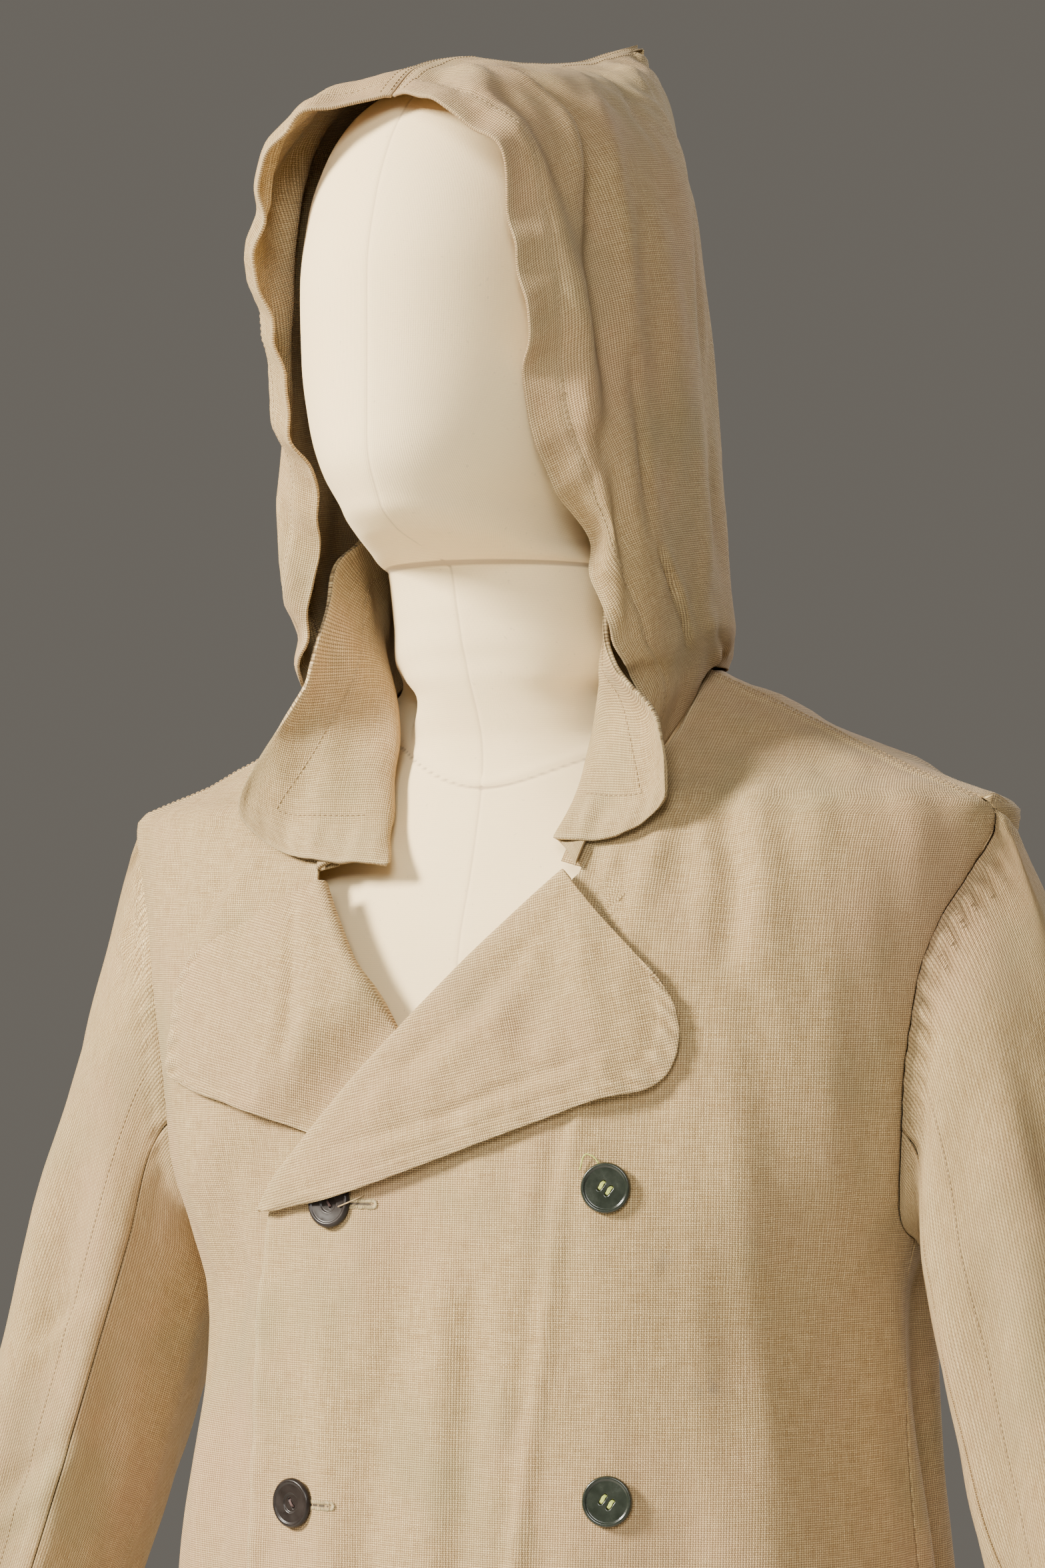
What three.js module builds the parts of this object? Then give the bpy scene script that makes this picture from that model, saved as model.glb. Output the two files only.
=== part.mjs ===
// A hooded, double-breasted duster coat in coarse linen, worn by a plain dress form on a stand.
// Millimetres. +Z is up, the floor is z = 0 and the coat's front faces -Y. The wearer's left is +X.
import * as THREE from "three";

// Driving dimensions
const cloth = 1.6;            // thickness of the linen
const seamGap = 0.35;         // room left at every seam
const hemHeight = 400;        // the hem above the floor
const underarm = 1272;        // height of the lowest point of the armhole
const shoulderPoint = 1482;   // height of the outer end of the shoulder seam
const neckHeight = 1555;      // height of the neck seam at the back
const shoulderSeam = 86;      // degrees round from the centre front
const sleeveEnd = 882;        // height of the middle of the cuff
const buttonRadius = 12.2;
const buttonThickness = 3;
const collarThickness = 2.4;  // two layers of linen
const baseRadius = 190;
const baseThickness = 12;
const poleRadius = 14;
const formBottom = 830;

const degree = Math.PI / 180;

// The coat's body in level sections: height, half width, depth in front, depth behind,
// centre in y, and how square the section is (2 is an ellipse).
const bodySections = [
  [400, 272, 190, 204, 8, 2.2],
  [600, 250, 172, 186, 8, 2.2],
  [800, 230, 156, 170, 8, 2.25],
  [950, 215, 147, 158, 6, 2.3],
  [1100, 199, 136, 144, 4, 2.35],
  [1200, 191, 130, 138, 2, 2.4],
  [1240, 192, 129, 138, 2, 2.4],
  [1272, 199, 128, 138, 2, 2.4],
  [1300, 208, 127, 138, 2, 2.35],
  [1340, 214, 125, 137, 2, 2.3],
  [1398, 224, 121, 136, 4, 2.3],
  [1426, 230, 116, 132, 6, 2.3],
  [1451, 237, 110, 124, 8, 2.2],
  [1482, 247, 98, 108, 12, 2.1],
  [1500, 208, 84, 96, 14, 2],
  [1520, 164, 66, 82, 15, 2],
  [1540, 121, 46, 70, 15, 2],
  [1555, 88, 30, 62, 15, 2],
];

// Soft folds of the body: angle, angular half width, height, half height, depth of the fold in mm
// (negative hollows it).
const bodyFolds = [
  [68, 13, 1225, 62, -11],
  [-68, 13, 1225, 62, -11],
  [112, 14, 1150, 150, 8],
  [-112, 14, 1150, 150, 8],
  [150, 16, 1130, 190, -5],
  [-150, 16, 1130, 190, -5],
  [-16, 9, 1185, 120, 1.6],
  [22, 8, 1120, 150, 1.5],
  [48, 9, 1380, 70, -3],
];

// Flares of the skirt, which grow towards the hem: angle, angular half width, depth at the hem.
const skirtFlares = [
  [-160, 13, 13], [-128, 14, -9], [-98, 13, 15], [-66, 13, -8], [-42, 11, 9],
  [-12, 12, -5], [14, 13, 6], [40, 12, -7], [66, 13, 13], [96, 14, -8],
  [124, 13, 14], [153, 12, -9], [176, 11, 10],
];

// Where the left front ends: height, x. The front edge, the roll line and then the neck seam.
const leftInner = [
  [400, -112], [1108, -107], [1204, -106], [1243, -105], [1282, -99], [1309, -77], [1337, -50],
  [1364, -24], [1387, 1], [1409, 24], [1432, 48], [1449, 66], [1467, 71], [1485, 80], [1510, 88.5],
  [1535, 91], [1555, 86],
];
// The same for the right front, which lies under the left one.
const rightInner = [
  [400, 112], [1108, 107], [1204, 106], [1246, 101], [1272, 80], [1305, 40], [1335, 5], [1364, -24],
  [1383, -37], [1402, -52], [1425, -66], [1447, -80], [1467, -84], [1485, -87], [1510, -90],
  [1535, -91], [1555, -86],
];
// The armhole seam: height, y in front, y behind.
const armhole = [
  [1272, 2, 2], [1275, -8, 13], [1281, -17, 22], [1290, -24, 31], [1303, -29, 39], [1331, -33, 49],
  [1359, -36, 54], [1398, -35, 55], [1426, -27, 50], [1451, -11, 39], [1470, -2, 22], [1482, -4, -4],
];

// A value from a table at height z, eased so that the curve never overshoots its points.
function slopes(xs, ys) {
  const n = xs.length, d = [], m = [];
  for (let i = 0; i < n - 1; i++) d.push((ys[i + 1] - ys[i]) / (xs[i + 1] - xs[i]));
  m.push(d[0]);
  for (let i = 1; i < n - 1; i++) m.push(d[i - 1] * d[i] <= 0 ? 0 : (2 * d[i - 1] * d[i]) / (d[i - 1] + d[i]));
  m.push(d[n - 2]);
  return m;
}
function tableCurve(table, column) {
  const xs = table.map((r) => r[0]), ys = table.map((r) => r[column]), m = slopes(xs, ys);
  return (x) => {
    if (x <= xs[0]) return ys[0];
    if (x >= xs[xs.length - 1]) return ys[ys.length - 1];
    let i = 0;
    while (x > xs[i + 1]) i++;
    const h = xs[i + 1] - xs[i], t = (x - xs[i]) / h;
    const a = 2 * t ** 3 - 3 * t ** 2 + 1, b = t ** 3 - 2 * t ** 2 + t;
    return a * ys[i] + b * h * m[i] + (1 - a) * ys[i + 1] + (t ** 3 - t ** 2) * h * m[i + 1];
  };
}
// A smooth path through rows of x, y, z at given places s.
function pathCurve(places, points) {
  const one = [0, 1, 2].map((k) => tableCurve(places.map((s, i) => [s, points[i][k]]), 1));
  return (s) => one.map((f) => f(s));
}

const add = (a, b, k = 1) => [a[0] + b[0] * k, a[1] + b[1] * k, a[2] + b[2] * k];
const minus = (a, b) => [a[0] - b[0], a[1] - b[1], a[2] - b[2]];
const mix = (a, b, t) => a.map((v, i) => v + (b[i] - v) * t);
const dot = (a, b) => a[0] * b[0] + a[1] * b[1] + a[2] * b[2];
const cross = (a, b) => [a[1] * b[2] - a[2] * b[1], a[2] * b[0] - a[0] * b[2], a[0] * b[1] - a[1] * b[0]];
const length = (a) => Math.hypot(a[0], a[1], a[2]);
const unit = (a) => a.map((v) => v / (length(a) || 1));
const ease = (x, a, b) => {
  const t = Math.min(1, Math.max(0, (x - a) / (b - a)));
  return t * t * (3 - 2 * t);
};

const sectionColumn = [1, 2, 3, 4, 5].map((c) => tableCurve(bodySections, c));
const leftInnerX = tableCurve(leftInner, 1), rightInnerX = tableCurve(rightInner, 1);
const armFrontY = tableCurve(armhole, 1), armBackY = tableCurve(armhole, 2);

const around = (d) => ((d + 540) % 360) - 180;
function foldDepth(angle, z) {
  let f = 0;
  for (const [a, w, zc, h, depth] of bodyFolds)
    f += depth * Math.exp(-((around(angle - a) / w) ** 2) - ((z - zc) / h) ** 2);
  const grow = ease(z, 1180, 430);
  for (const [a, w, depth] of skirtFlares)
    f += grow * depth * Math.exp(-((around(angle - a) / w) ** 2));
  return f;
}
// A point of the coat's body at an angle from the centre front (90 is the wearer's left side).
function body(angle, z) {
  const [a, front, back, yc, n] = sectionColumn.map((f) => f(z));
  const s = Math.sin(angle * degree), c = Math.cos(angle * degree);
  const r = 1 / (Math.abs(s / a) ** n + Math.abs(c / (c > 0 ? front : back)) ** n) ** (1 / n)
    + foldDepth(angle, z);
  return [r * s, yc - r * c, z];
}
function bodyNormal(angle, z) {
  const dz = 1.5, du = 0.6;
  const across = minus(body(angle + du, z), body(angle - du, z));
  const up = minus(body(angle, Math.min(z + dz, neckHeight)), body(angle, z - dz));
  const n = unit(cross(across, up));
  return n[0] * Math.sin(angle * degree) - n[1] * Math.cos(angle * degree) < 0 ? n.map((v) => -v) : n;
}
const raised = (angle, z, h) => add(body(angle, z), bodyNormal(angle, z), h);
// The angle at which the body at height z has a given x (front) or y (side).
function angleAtX(z, x) {
  let lo = -88, hi = 88;
  for (let i = 0; i < 40; i++) {
    const mid = (lo + hi) / 2;
    if (body(mid, z)[0] < x) lo = mid; else hi = mid;
  }
  return (lo + hi) / 2;
}
function angleAtY(z, y) {
  let lo = 45, hi = 135;
  for (let i = 0; i < 40; i++) {
    const mid = (lo + hi) / 2;
    if (body(mid, z)[1] < y) lo = mid; else hi = mid;
  }
  return (lo + hi) / 2;
}

// A closed sheet from rows of outer points, the direction to its inner face at each, and its thickness.
function sheet(rows, inward, thickness) {
  const nu = rows.length, nv = rows[0].length, points = [], faces = [];
  const flat = (r) => r.flat();
  flat(rows).forEach((p) => points.push(p));
  flat(rows).forEach((p, k) => points.push(add(p, inward.flat()[k], thickness)));
  const at = (i, j) => i * nv + j, low = nu * nv;
  const quad = (a, b, c, d) => faces.push([a, b, c], [a, c, d]);
  for (let i = 0; i < nu - 1; i++)
    for (let j = 0; j < nv - 1; j++) {
      quad(at(i, j), at(i, j + 1), at(i + 1, j + 1), at(i + 1, j));
      quad(low + at(i + 1, j), low + at(i + 1, j + 1), low + at(i, j + 1), low + at(i, j));
    }
  const rim = (a, b) => quad(b, a, low + a, low + b);
  for (let j = 0; j < nv - 1; j++) {
    rim(at(0, j), at(0, j + 1));
    rim(at(nu - 1, j + 1), at(nu - 1, j));
  }
  for (let i = 0; i < nu - 1; i++) {
    rim(at(i + 1, 0), at(i, 0));
    rim(at(i, nv - 1), at(i + 1, nv - 1));
  }
  return solid(points, faces);
}
function solid(points, faces) {
  let volume = 0;
  for (const [a, b, c] of faces) volume += dot(points[a], cross(points[b], points[c]));
  const g = new THREE.BufferGeometry();
  g.setAttribute("position", new THREE.Float32BufferAttribute(points.flat(), 3));
  g.setIndex((volume < 0 ? faces.map(([a, b, c]) => [a, c, b]) : faces).flat());
  g.computeVertexNormals();
  return g;
}
// Unit normals of a grid of points; hint gives the side they should face.
function gridNormals(rows, hint) {
  const nu = rows.length, nv = rows[0].length;
  return rows.map((row, i) => row.map((p, j) => {
    const du = minus(rows[Math.min(i + 1, nu - 1)][j], rows[Math.max(i - 1, 0)][j]);
    const dv = minus(row[Math.min(j + 1, nv - 1)], row[Math.max(j - 1, 0)]);
    const n = unit(cross(du, dv));
    return dot(n, hint(p, i, j)) < 0 ? n.map((v) => -v) : n;
  }));
}
const spread = (a, b, n) => Array.from({ length: n }, (_, i) => a + ((b - a) * i) / (n - 1));

const linen = new THREE.MeshStandardMaterial({ name: "linen", color: 0xc8b496, roughness: 0.95, metalness: 0 });
const horn = new THREE.MeshStandardMaterial({ name: "button_dark", color: 0x23211c, roughness: 0.35, metalness: 0 });
const canvas = new THREE.MeshStandardMaterial({ name: "form_canvas", color: 0xe6dcc6, roughness: 0.9, metalness: 0 });
const metal = new THREE.MeshStandardMaterial({ name: "stand_metal", color: 0x2c2c2e, roughness: 0.45, metalness: 0.6 });

const coat = new THREE.Group();
function piece(name, geometry, material) {
  const m = new THREE.Mesh(geometry, material);
  m.name = name;
  coat.add(m);
  return m;
}

// Fronts and back
const frontHeights = [hemHeight, 480, 570, 660, 750, 840, 930, 1010, 1080, 1140, 1190, 1225, 1250, underarm,
  1284, 1302, 1325, 1350, 1380, 1410, 1432, 1449, 1466, shoulderPoint, 1495, 1510, 1525, 1540, neckHeight];
const outerAngle = (z) =>
  z <= underarm ? 90 : z >= shoulderPoint ? shoulderSeam : angleAtY(z, armFrontY(z));
const outerAngleBack = (z) =>
  z <= underarm ? 90 : z >= shoulderPoint ? shoulderSeam : angleAtY(z, armBackY(z));
const straight = (f) => (z) => {
  let i = 0;
  while (i < frontHeights.length - 2 && z > frontHeights[i + 1]) i++;
  const a = frontHeights[i], b = frontHeights[i + 1];
  return f(a) + ((f(b) - f(a)) * (z - a)) / (b - a);
};
const leftEdgeX = straight(leftInnerX), rightEdgeX = straight(rightInnerX);
const trim = (z) => (seamGap / 2 / body(90, z)[0]) / degree;

// The right front is pushed inwards where the left front covers it, and more under the lapels.
const coverX = (z) => (z > 1449 ? 66 : leftEdgeX(z));
function underlap(x, z) {
  const deep = 4 + 4.6 * ease(z, 1195, 1250);
  return -deep * ease(x - coverX(z), -78, -20);
}

const leftRows = [], leftIn = [];
for (const z of frontHeights) {
  const a = angleAtX(z, leftInnerX(z)), b = outerAngle(z) - (z <= underarm || z >= shoulderPoint ? trim(z) : 0);
  leftRows.push(spread(a, b, 15).map((p) => body(p, z)));
  leftIn.push(spread(a, b, 15).map((p) => bodyNormal(p, z).map((v) => -v)));
}
piece("left_front", sheet(leftRows, leftIn, cloth), linen);

const rightRows = [], rightInDirections = [];
for (const z of frontHeights) {
  const a = angleAtX(z, rightInnerX(z)), b = -(outerAngle(z) - (z <= underarm || z >= shoulderPoint ? trim(z) : 0));
  const angles = spread(a, b, 19);
  rightRows.push(angles.map((p) => raised(p, z, underlap(body(p, z)[0], z))));
  rightInDirections.push(angles.map((p) => bodyNormal(p, z).map((v) => -v)));
}
piece("right_front", sheet(rightRows, rightInDirections, cloth), linen);

const backRows = [], backIn = [];
for (const z of frontHeights) {
  const a = outerAngleBack(z) + (z <= underarm || z >= shoulderPoint ? trim(z) : 0);
  const angles = spread(a, 360 - a, 17);
  backRows.push(angles.map((p) => body(p, z)));
  backIn.push(angles.map((p) => bodyNormal(p, z).map((v) => -v)));
}
piece("back", sheet(backRows, backIn, cloth), linen);

// Sleeves: each is a top piece and an under piece, set into the armhole.
// Rings down the arm: share of the length below the cap, centre x, y, z, half depth front to back,
// half width outwards, half width inwards.
const sleeveRings = [
  [0, 254, 16, 1262, 68, 57, 50],
  [0.25, 280, 3, 1168, 63, 54, 49],
  [0.5, 306, -10, 1074, 59, 52, 47],
  [0.75, 331, -25, 978, 55, 49, 45],
  [1, 354, -42, sleeveEnd, 51, 46, 43],
];
const ringCurve = [1, 2, 3, 4, 5, 6].map((c) => tableCurve(sleeveRings, c));
function armholePoint(angle) {
  const front = angle <= 90, w = front ? (angle + 90) / 180 : (270 - angle) / 180;
  const z = underarm + (shoulderPoint - underarm) * (w - 0.09 * Math.sin(2 * Math.PI * w));
  const round = angleAtY(z, front ? armFrontY(z) : armBackY(z));
  const n = bodyNormal(round, z), p = body(round, z);
  return { p, n };
}
function sleevePoint(angle, t) {
  const capShare = 0.34, s = Math.max(0, (t - capShare) / (1 - capShare));
  const [cx, cy, cz, deep, out, inn] = ringCurve.map((f) => f(s));
  const ds = 0.02, ahead = ringCurve.slice(0, 3).map((f) => f(Math.min(1, s + ds)));
  const behind = ringCurve.slice(0, 3).map((f) => f(Math.max(0, s - ds)));
  const axis = unit(minus(ahead, behind));
  const forward = unit(minus([0, -1, 0], axis.map((v) => v * -axis[1])));
  const lateral = unit(cross(axis, forward)).map((v, _, l) => (l[0] < 0 ? -v : v));
  const c = Math.cos(angle * degree), q = Math.sin(angle * degree);
  const ring = add(add([cx, cy, cz], forward, deep * c), lateral, (q > 0 ? out : inn) * q);
  if (t >= capShare) return ring;
  const { p } = armholePoint(angle), chord = minus(ring, p), far = length(chord), k = t / capShare;
  const push = 46 * c * c + (q > 0 ? 40 : 26) * q * q;
  const t0 = add(chord.map((v) => v * 0.55), [1, 0, 0], push), t1 = axis.map((v) => v * far * 0.95);
  const h = [2 * k ** 3 - 3 * k ** 2 + 1, k ** 3 - 2 * k ** 2 + k, -2 * k ** 3 + 3 * k ** 2, k ** 3 - k ** 2];
  return [0, 1, 2].map((i) => h[0] * p[i] + h[1] * t0[i] + h[2] * ring[i] + h[3] * t1[i]);
}
function sleeveStart(angle) {
  const { p, n } = armholePoint(angle);
  const along = minus(armholePoint(angle + 1.5).p, armholePoint(angle - 1.5).p);
  let hole = unit(cross(n, along));
  if (dot(hole, minus([p[0] * 0.9, 8, 1375], p)) < 0) hole = hole.map((v) => -v);
  const t0 = minus(sleevePoint(angle, 0.02), p);
  let inside = unit(cross(along, t0));
  if (dot(inside, minus([262, 10, 1330], p)) < 0) inside = inside.map((v) => -v);
  const back = Math.max(0, -dot(inside, hole));
  return { p: add(p, hole, seamGap + 0.35), inside: unit(add(inside, hole, back)) };
}
const sleeveSteps = [0, 0.05, 0.11, 0.18, 0.26, 0.34, 0.46, 0.6, 0.74, 0.87, 1];
for (const [side, sign] of [["left", 1], ["right", -1]])
  for (const [part, from, to, n] of [["top", -30, 208, 12], ["under", 208, 330, 7]]) {
    const gapAngle = 0.17, angles = spread(from + gapAngle, to - gapAngle, n);
    const wrap = (a) => (a > 270 ? a - 360 : a);
    const rows = sleeveSteps.map((t) => angles.map((a) => (t === 0 ? sleeveStart(wrap(a)).p : sleevePoint(wrap(a), t))));
    const fine = (a, t) => {
      const du = minus(sleevePoint(wrap(a + 1), t), sleevePoint(wrap(a - 1), t));
      const dv = minus(sleevePoint(wrap(a), Math.min(1, t + 0.01)), sleevePoint(wrap(a), t - 0.01));
      const nrm = unit(cross(du, dv));
      const p = sleevePoint(wrap(a), t), s = Math.max(0, (t - 0.34) / 0.66);
      const centre = ringCurve.slice(0, 3).map((f) => f(s));
      if (t < 0.34) centre[2] = p[2];
      return dot(nrm, minus(centre, p)) < 0 ? nrm.map((v) => -v) : nrm;
    };
    const inward = sleeveSteps.map((t) => angles.map((a) => (t === 0 ? sleeveStart(wrap(a)).inside : fine(a, t))));
    const flip = (g) => g.map((r) => r.map(([x, y, z]) => [sign * x, y, z]));
    piece(side + "_sleeve_" + part, sheet(flip(rows), flip(inward), cloth), linen);
  }

// Lapels. Each row runs from the roll line to the outline: place, height on the roll line,
// x and z on the outline, height of the roll, height of the outline over the chest.
const lapelRows = {
  left: [
    [0, 1447, 112, 1399, 6.6, 5.4],
    [0.08, 1436, 121, 1386, 6.8, 5.6],
    [0.16, 1424, 124, 1371, 6.8, 5.6],
    [0.24, 1412, 121, 1357, 6.8, 5.6],
    [0.32, 1399, 110, 1346, 6.8, 5.6],
    [0.42, 1382, 88, 1341, 6.8, 5.6],
    [0.54, 1362, 58, 1330, 6.8, 5.8],
    [0.66, 1341, 25, 1318, 6.8, 6],
    [0.78, 1320, -12, 1305, 6.8, 6.2],
    [0.9, 1300, -55, 1291, 6.8, 6.4],
    [1, 1284, -90, 1284, 5, 4.6],
  ],
  right: [
    [0, 1444, -156, 1409, 8, 4.6],
    [0.1, 1430, -166, 1392, 9, 4.6],
    [0.2, 1412, -172, 1370, 9, 4.8],
    [0.3, 1395, -175, 1352, 9, 5],
    [0.4, 1378, -152, 1343, 8.5, 5],
    [0.5, 1362, -118, 1335, 8, 5],
    [0.6, 1345, -84, 1325, 8, 5],
    [0.7, 1325, -45, 1312, 8, 5],
    [0.8, 1303, 0, 1297, 8, 5],
    [0.9, 1284, 42, 1282, 8, 5],
    [1, 1272, 64, 1273, 8, 5],
  ],
};
function lapel(side) {
  const left = side === "left", innerX = left ? leftEdgeX : rightEdgeX, table = lapelRows[side];
  const col = [1, 2, 3, 4, 5].map((c) => tableCurve(table, c));
  const covered = (x, z) => (left ? 0 : ease(x - coverX(z), -56, -13));
  const lift = (x, z, natural) => natural + (-4.9 - natural) * covered(x, z);
  const rows = [], inward = [];
  const places = [0, 0.04, 0.1, 0.18, 0.25, 0.32, 0.42, 0.54, 0.66, 0.78, 0.9, 1];
  for (const s of places) {
    const zr = col[0](s), xr = innerX(zr), xe = col[1](s), ze = col[2](s);
    const a0 = angleAtX(zr, xr), p0 = body(a0, zr), n0 = bodyNormal(a0, zr);
    const a1 = angleAtX(zr + (ze - zr) * 0.05, xr + (xe - xr) * 0.05);
    const d0 = unit(minus(body(a1, zr + (ze - zr) * 0.05), p0));
    const top = lift(xr, zr, col[3](s));
    const low = (left ? 0 : underlap(xr, zr)) - cloth, rho = (top - low) / 2, mid = (top + low) / 2;
    const row = [], dirs = [];
    const put = (across, h, dir) => {
      row.push(add(add(p0, d0, across), n0, h));
      dirs.push(dir);
    };
    put(-0.6, low, n0);
    for (const turn of [35, 75, 115, 155]) {
      const c = Math.cos(turn * degree), q = Math.sin(turn * degree);
      put(-1.5 - rho * q, mid - rho * c, unit(add(d0.map((v) => v * q), n0, c)));
    }
    const first = row.length;
    for (const t of [0.04, 0.16, 0.32, 0.5, 0.68, 0.85, 1]) {
      const x = xr + (xe - xr) * t, z = zr + (ze - zr) * t, natural = col[3](s) + (col[4](s) - col[3](s)) * t;
      const a = angleAtX(z, x);
      row.push(raised(a, z, lift(x, z, natural + 1.2 * Math.sin(Math.PI * t))));
      dirs.push(null);
    }
    rows.push(row);
    inward.push(dirs);
    row.first = first;
  }
  const g = gridNormals(rows, (p, i, j) => (j < 3 ? [0, 1, 0] : [0, -1, 0]));
  const dirs = inward.map((r, i) => r.map((d, j) => d || g[i][j].map((v) => -v)));
  return sheet(rows, dirs, cloth);
}
piece("left_lapel", lapel("left"), linen);
piece("right_lapel", lapel("right"), linen);

// The neck seam: place 0 at the centre back, 1 at the front end. side is 1 (left) or -1 (right).
const neckFront = [[0.5, neckHeight], [0.6, 1550], [0.7, 1535], [0.79, 1515], [0.87, 1493], [0.94, 1470], [1, 1452]];
const neckFrontZ = tableCurve(neckFront, 1);
function neckSeam(place, side) {
  let angle, z = neckHeight;
  if (place >= 0.5) {
    z = neckFrontZ(place);
    angle = angleAtX(z, side > 0 ? leftInnerX(z) : rightInnerX(z));
  } else angle = side * (180 - (place / 0.5) * (180 - Math.abs(angleAtX(z, 86))));
  return { p: body(angle, z), n: bodyNormal(angle, z) };
}
function neckFrame(place, side) {
  const { p, n } = neckSeam(place, side);
  const along = minus(neckSeam(Math.min(1, place + 0.01), side).p, neckSeam(Math.max(0, place - 0.01), side).p);
  let into = unit(cross(n, along));
  if (dot(into, minus([0, -10, p[2] + 5], p)) < 0) into = into.map((v) => -v);
  return { p, n, into };
}

// The hood, one half: ribs from the top seam down to the neck seam, from the face edge to the back seam.
// Each rib holds its place from front to back, its place on the neck seam, and x, y, z down the rib.
const hoodRibs = [
  [0, 0.87, [0, -165, 1824], [40, -184, 1812], [68, -176, 1776], [70, -163, 1722], [64, -142, 1660], [74, -107, 1606], [88, -105, 1563], [91, -76, 1530]],
  [0.12, 0.82, [0, -142, 1841], [42, -152, 1831], [77, -150, 1792], [85, -140, 1732], [88, -126, 1672], [92, -114, 1616], [95, -98, 1564], [94, -72, 1538]],
  [0.3, 0.75, [0, -100, 1854], [46, -104, 1843], [84, -108, 1800], [93, -108, 1738], [97, -104, 1676], [101, -94, 1614], [100, -72, 1564], [97, -46, 1545]],
  [0.5, 0.6, [0, -30, 1864], [50, -32, 1850], [91, -36, 1800], [98, -38, 1736], [101, -38, 1674], [103, -30, 1612], [102, -12, 1576], [96, 0, 1563]],
  [0.7, 0.33, [0, 35, 1877], [38, 34, 1865], [66, 22, 1808], [75, 22, 1742], [82, 24, 1678], [87, 28, 1614], [85, 38, 1580], [81, 44, 1568]],
  [0.86, 0.17, [0, 74, 1890], [22, 73, 1877], [42, 60, 1816], [52, 52, 1746], [56, 51, 1684], [57, 56, 1620], [51, 67, 1580], [47, 73, 1568]],
  [1, 0, [0, 100, 1898], [0, 99, 1880], [0, 82, 1822], [0, 66, 1756], [0, 61, 1690], [0, 67, 1622], [0, 76, 1580], [0, 80, 1568]],
];
const ribPlaces = [0, 0.12, 0.27, 0.42, 0.57, 0.72, 0.86, 0.94];
function hoodPoint(v, u, side) {
  const columns = ribPlaces.map((_, k) => pathCurve(hoodRibs.map((r) => r[0]), hoodRibs.map((r) => r[k + 2]))(v));
  const { p, n } = neckFrame(tableCurve(hoodRibs, 1)(v), side);
  const foot = add(p, n, 1.1);
  columns.push([Math.abs(foot[0]), foot[1], foot[2]]);
  return pathCurve([...ribPlaces, 1], columns)(u);
}
for (const [side, sign] of [["left", 1], ["right", -1]]) {
  const vs = [0, 0.05, 0.12, 0.21, 0.3, 0.4, 0.5, 0.57, 0.64, 0.7, 0.78, 0.86, 0.93, 1];
  const us = [0, 0.06, 0.12, 0.2, 0.27, 0.35, 0.42, 0.5, 0.57, 0.65, 0.72, 0.8, 0.86, 0.94, 1];
  const rows = vs.map((v) => us.map((u) => hoodPoint(v, u, sign)));
  const inward = gridNormals(rows, (p) => unit([p[0] + 2, p[1] + 40, p[2] - 1700]))
    .map((r) => r.map((n) => n.map((c) => -c)));
  rows.forEach((r, i) => r.forEach((p, j) => {
    if (j === 0 || i === rows.length - 1) {
      p[0] = seamGap / 2;
      inward[i][j] = unit([0, inward[i][j][1], inward[i][j][2]]);
    }
  }));
  const last = rows.length - 1;
  inward[last][0] = unit([0, -0.7, -0.7]);
  const flip = (g) => g.map((r) => r.map(([x, y, z]) => [sign * x, y, z]));
  piece("hood_" + side, sheet(flip(rows), flip(inward), cloth), linen);
}

// The collar: for each place on the neck seam, the crest it turns over and its free edge.
const collarRows = {
  left: [
    [0, [0, 63, 1590], [0, 52, 1625]],
    [0.2, [40, 51, 1590], [34, 38, 1627]],
    [0.38, [68, 18, 1592], [57, 4, 1629]],
    [0.5, [73, -14, 1594], [64, -30, 1628]],
    [0.6, [75, -34, 1590], [70, -58, 1624]],
    [0.68, [71, -47, 1580], [75, -84, 1609]],
    [0.75, [66, -54, 1565], [77, -94, 1583]],
    [0.82, [60, -60, 1546], [84, -100, 1550]],
    [0.88, [56, -64, 1520], [106, -93, 1521]],
    [0.94, [54, -73, 1494], [112, -93, 1490]],
    [1, [50, -93, 1467], [97, -96, 1463]],
  ],
  right: [
    [0, [0, 63, 1590], [0, 52, 1625]],
    [0.2, [-40, 51, 1590], [-34, 38, 1627]],
    [0.38, [-68, 18, 1592], [-57, 4, 1629]],
    [0.5, [-73, -14, 1594], [-64, -30, 1628]],
    [0.6, [-75, -34, 1590], [-70, -58, 1624]],
    [0.68, [-71, -47, 1582], [-75, -84, 1609]],
    [0.75, [-66, -54, 1565], [-77, -94, 1583]],
    [0.82, [-59, -58, 1548], [-84, -100, 1549]],
    [0.88, [-54, -64, 1524], [-110, -94, 1520]],
    [0.94, [-50, -76, 1486], [-129, -94, 1486]],
    [1, [-38, -100, 1456], [-120, -96, 1458]],
  ],
};
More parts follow.
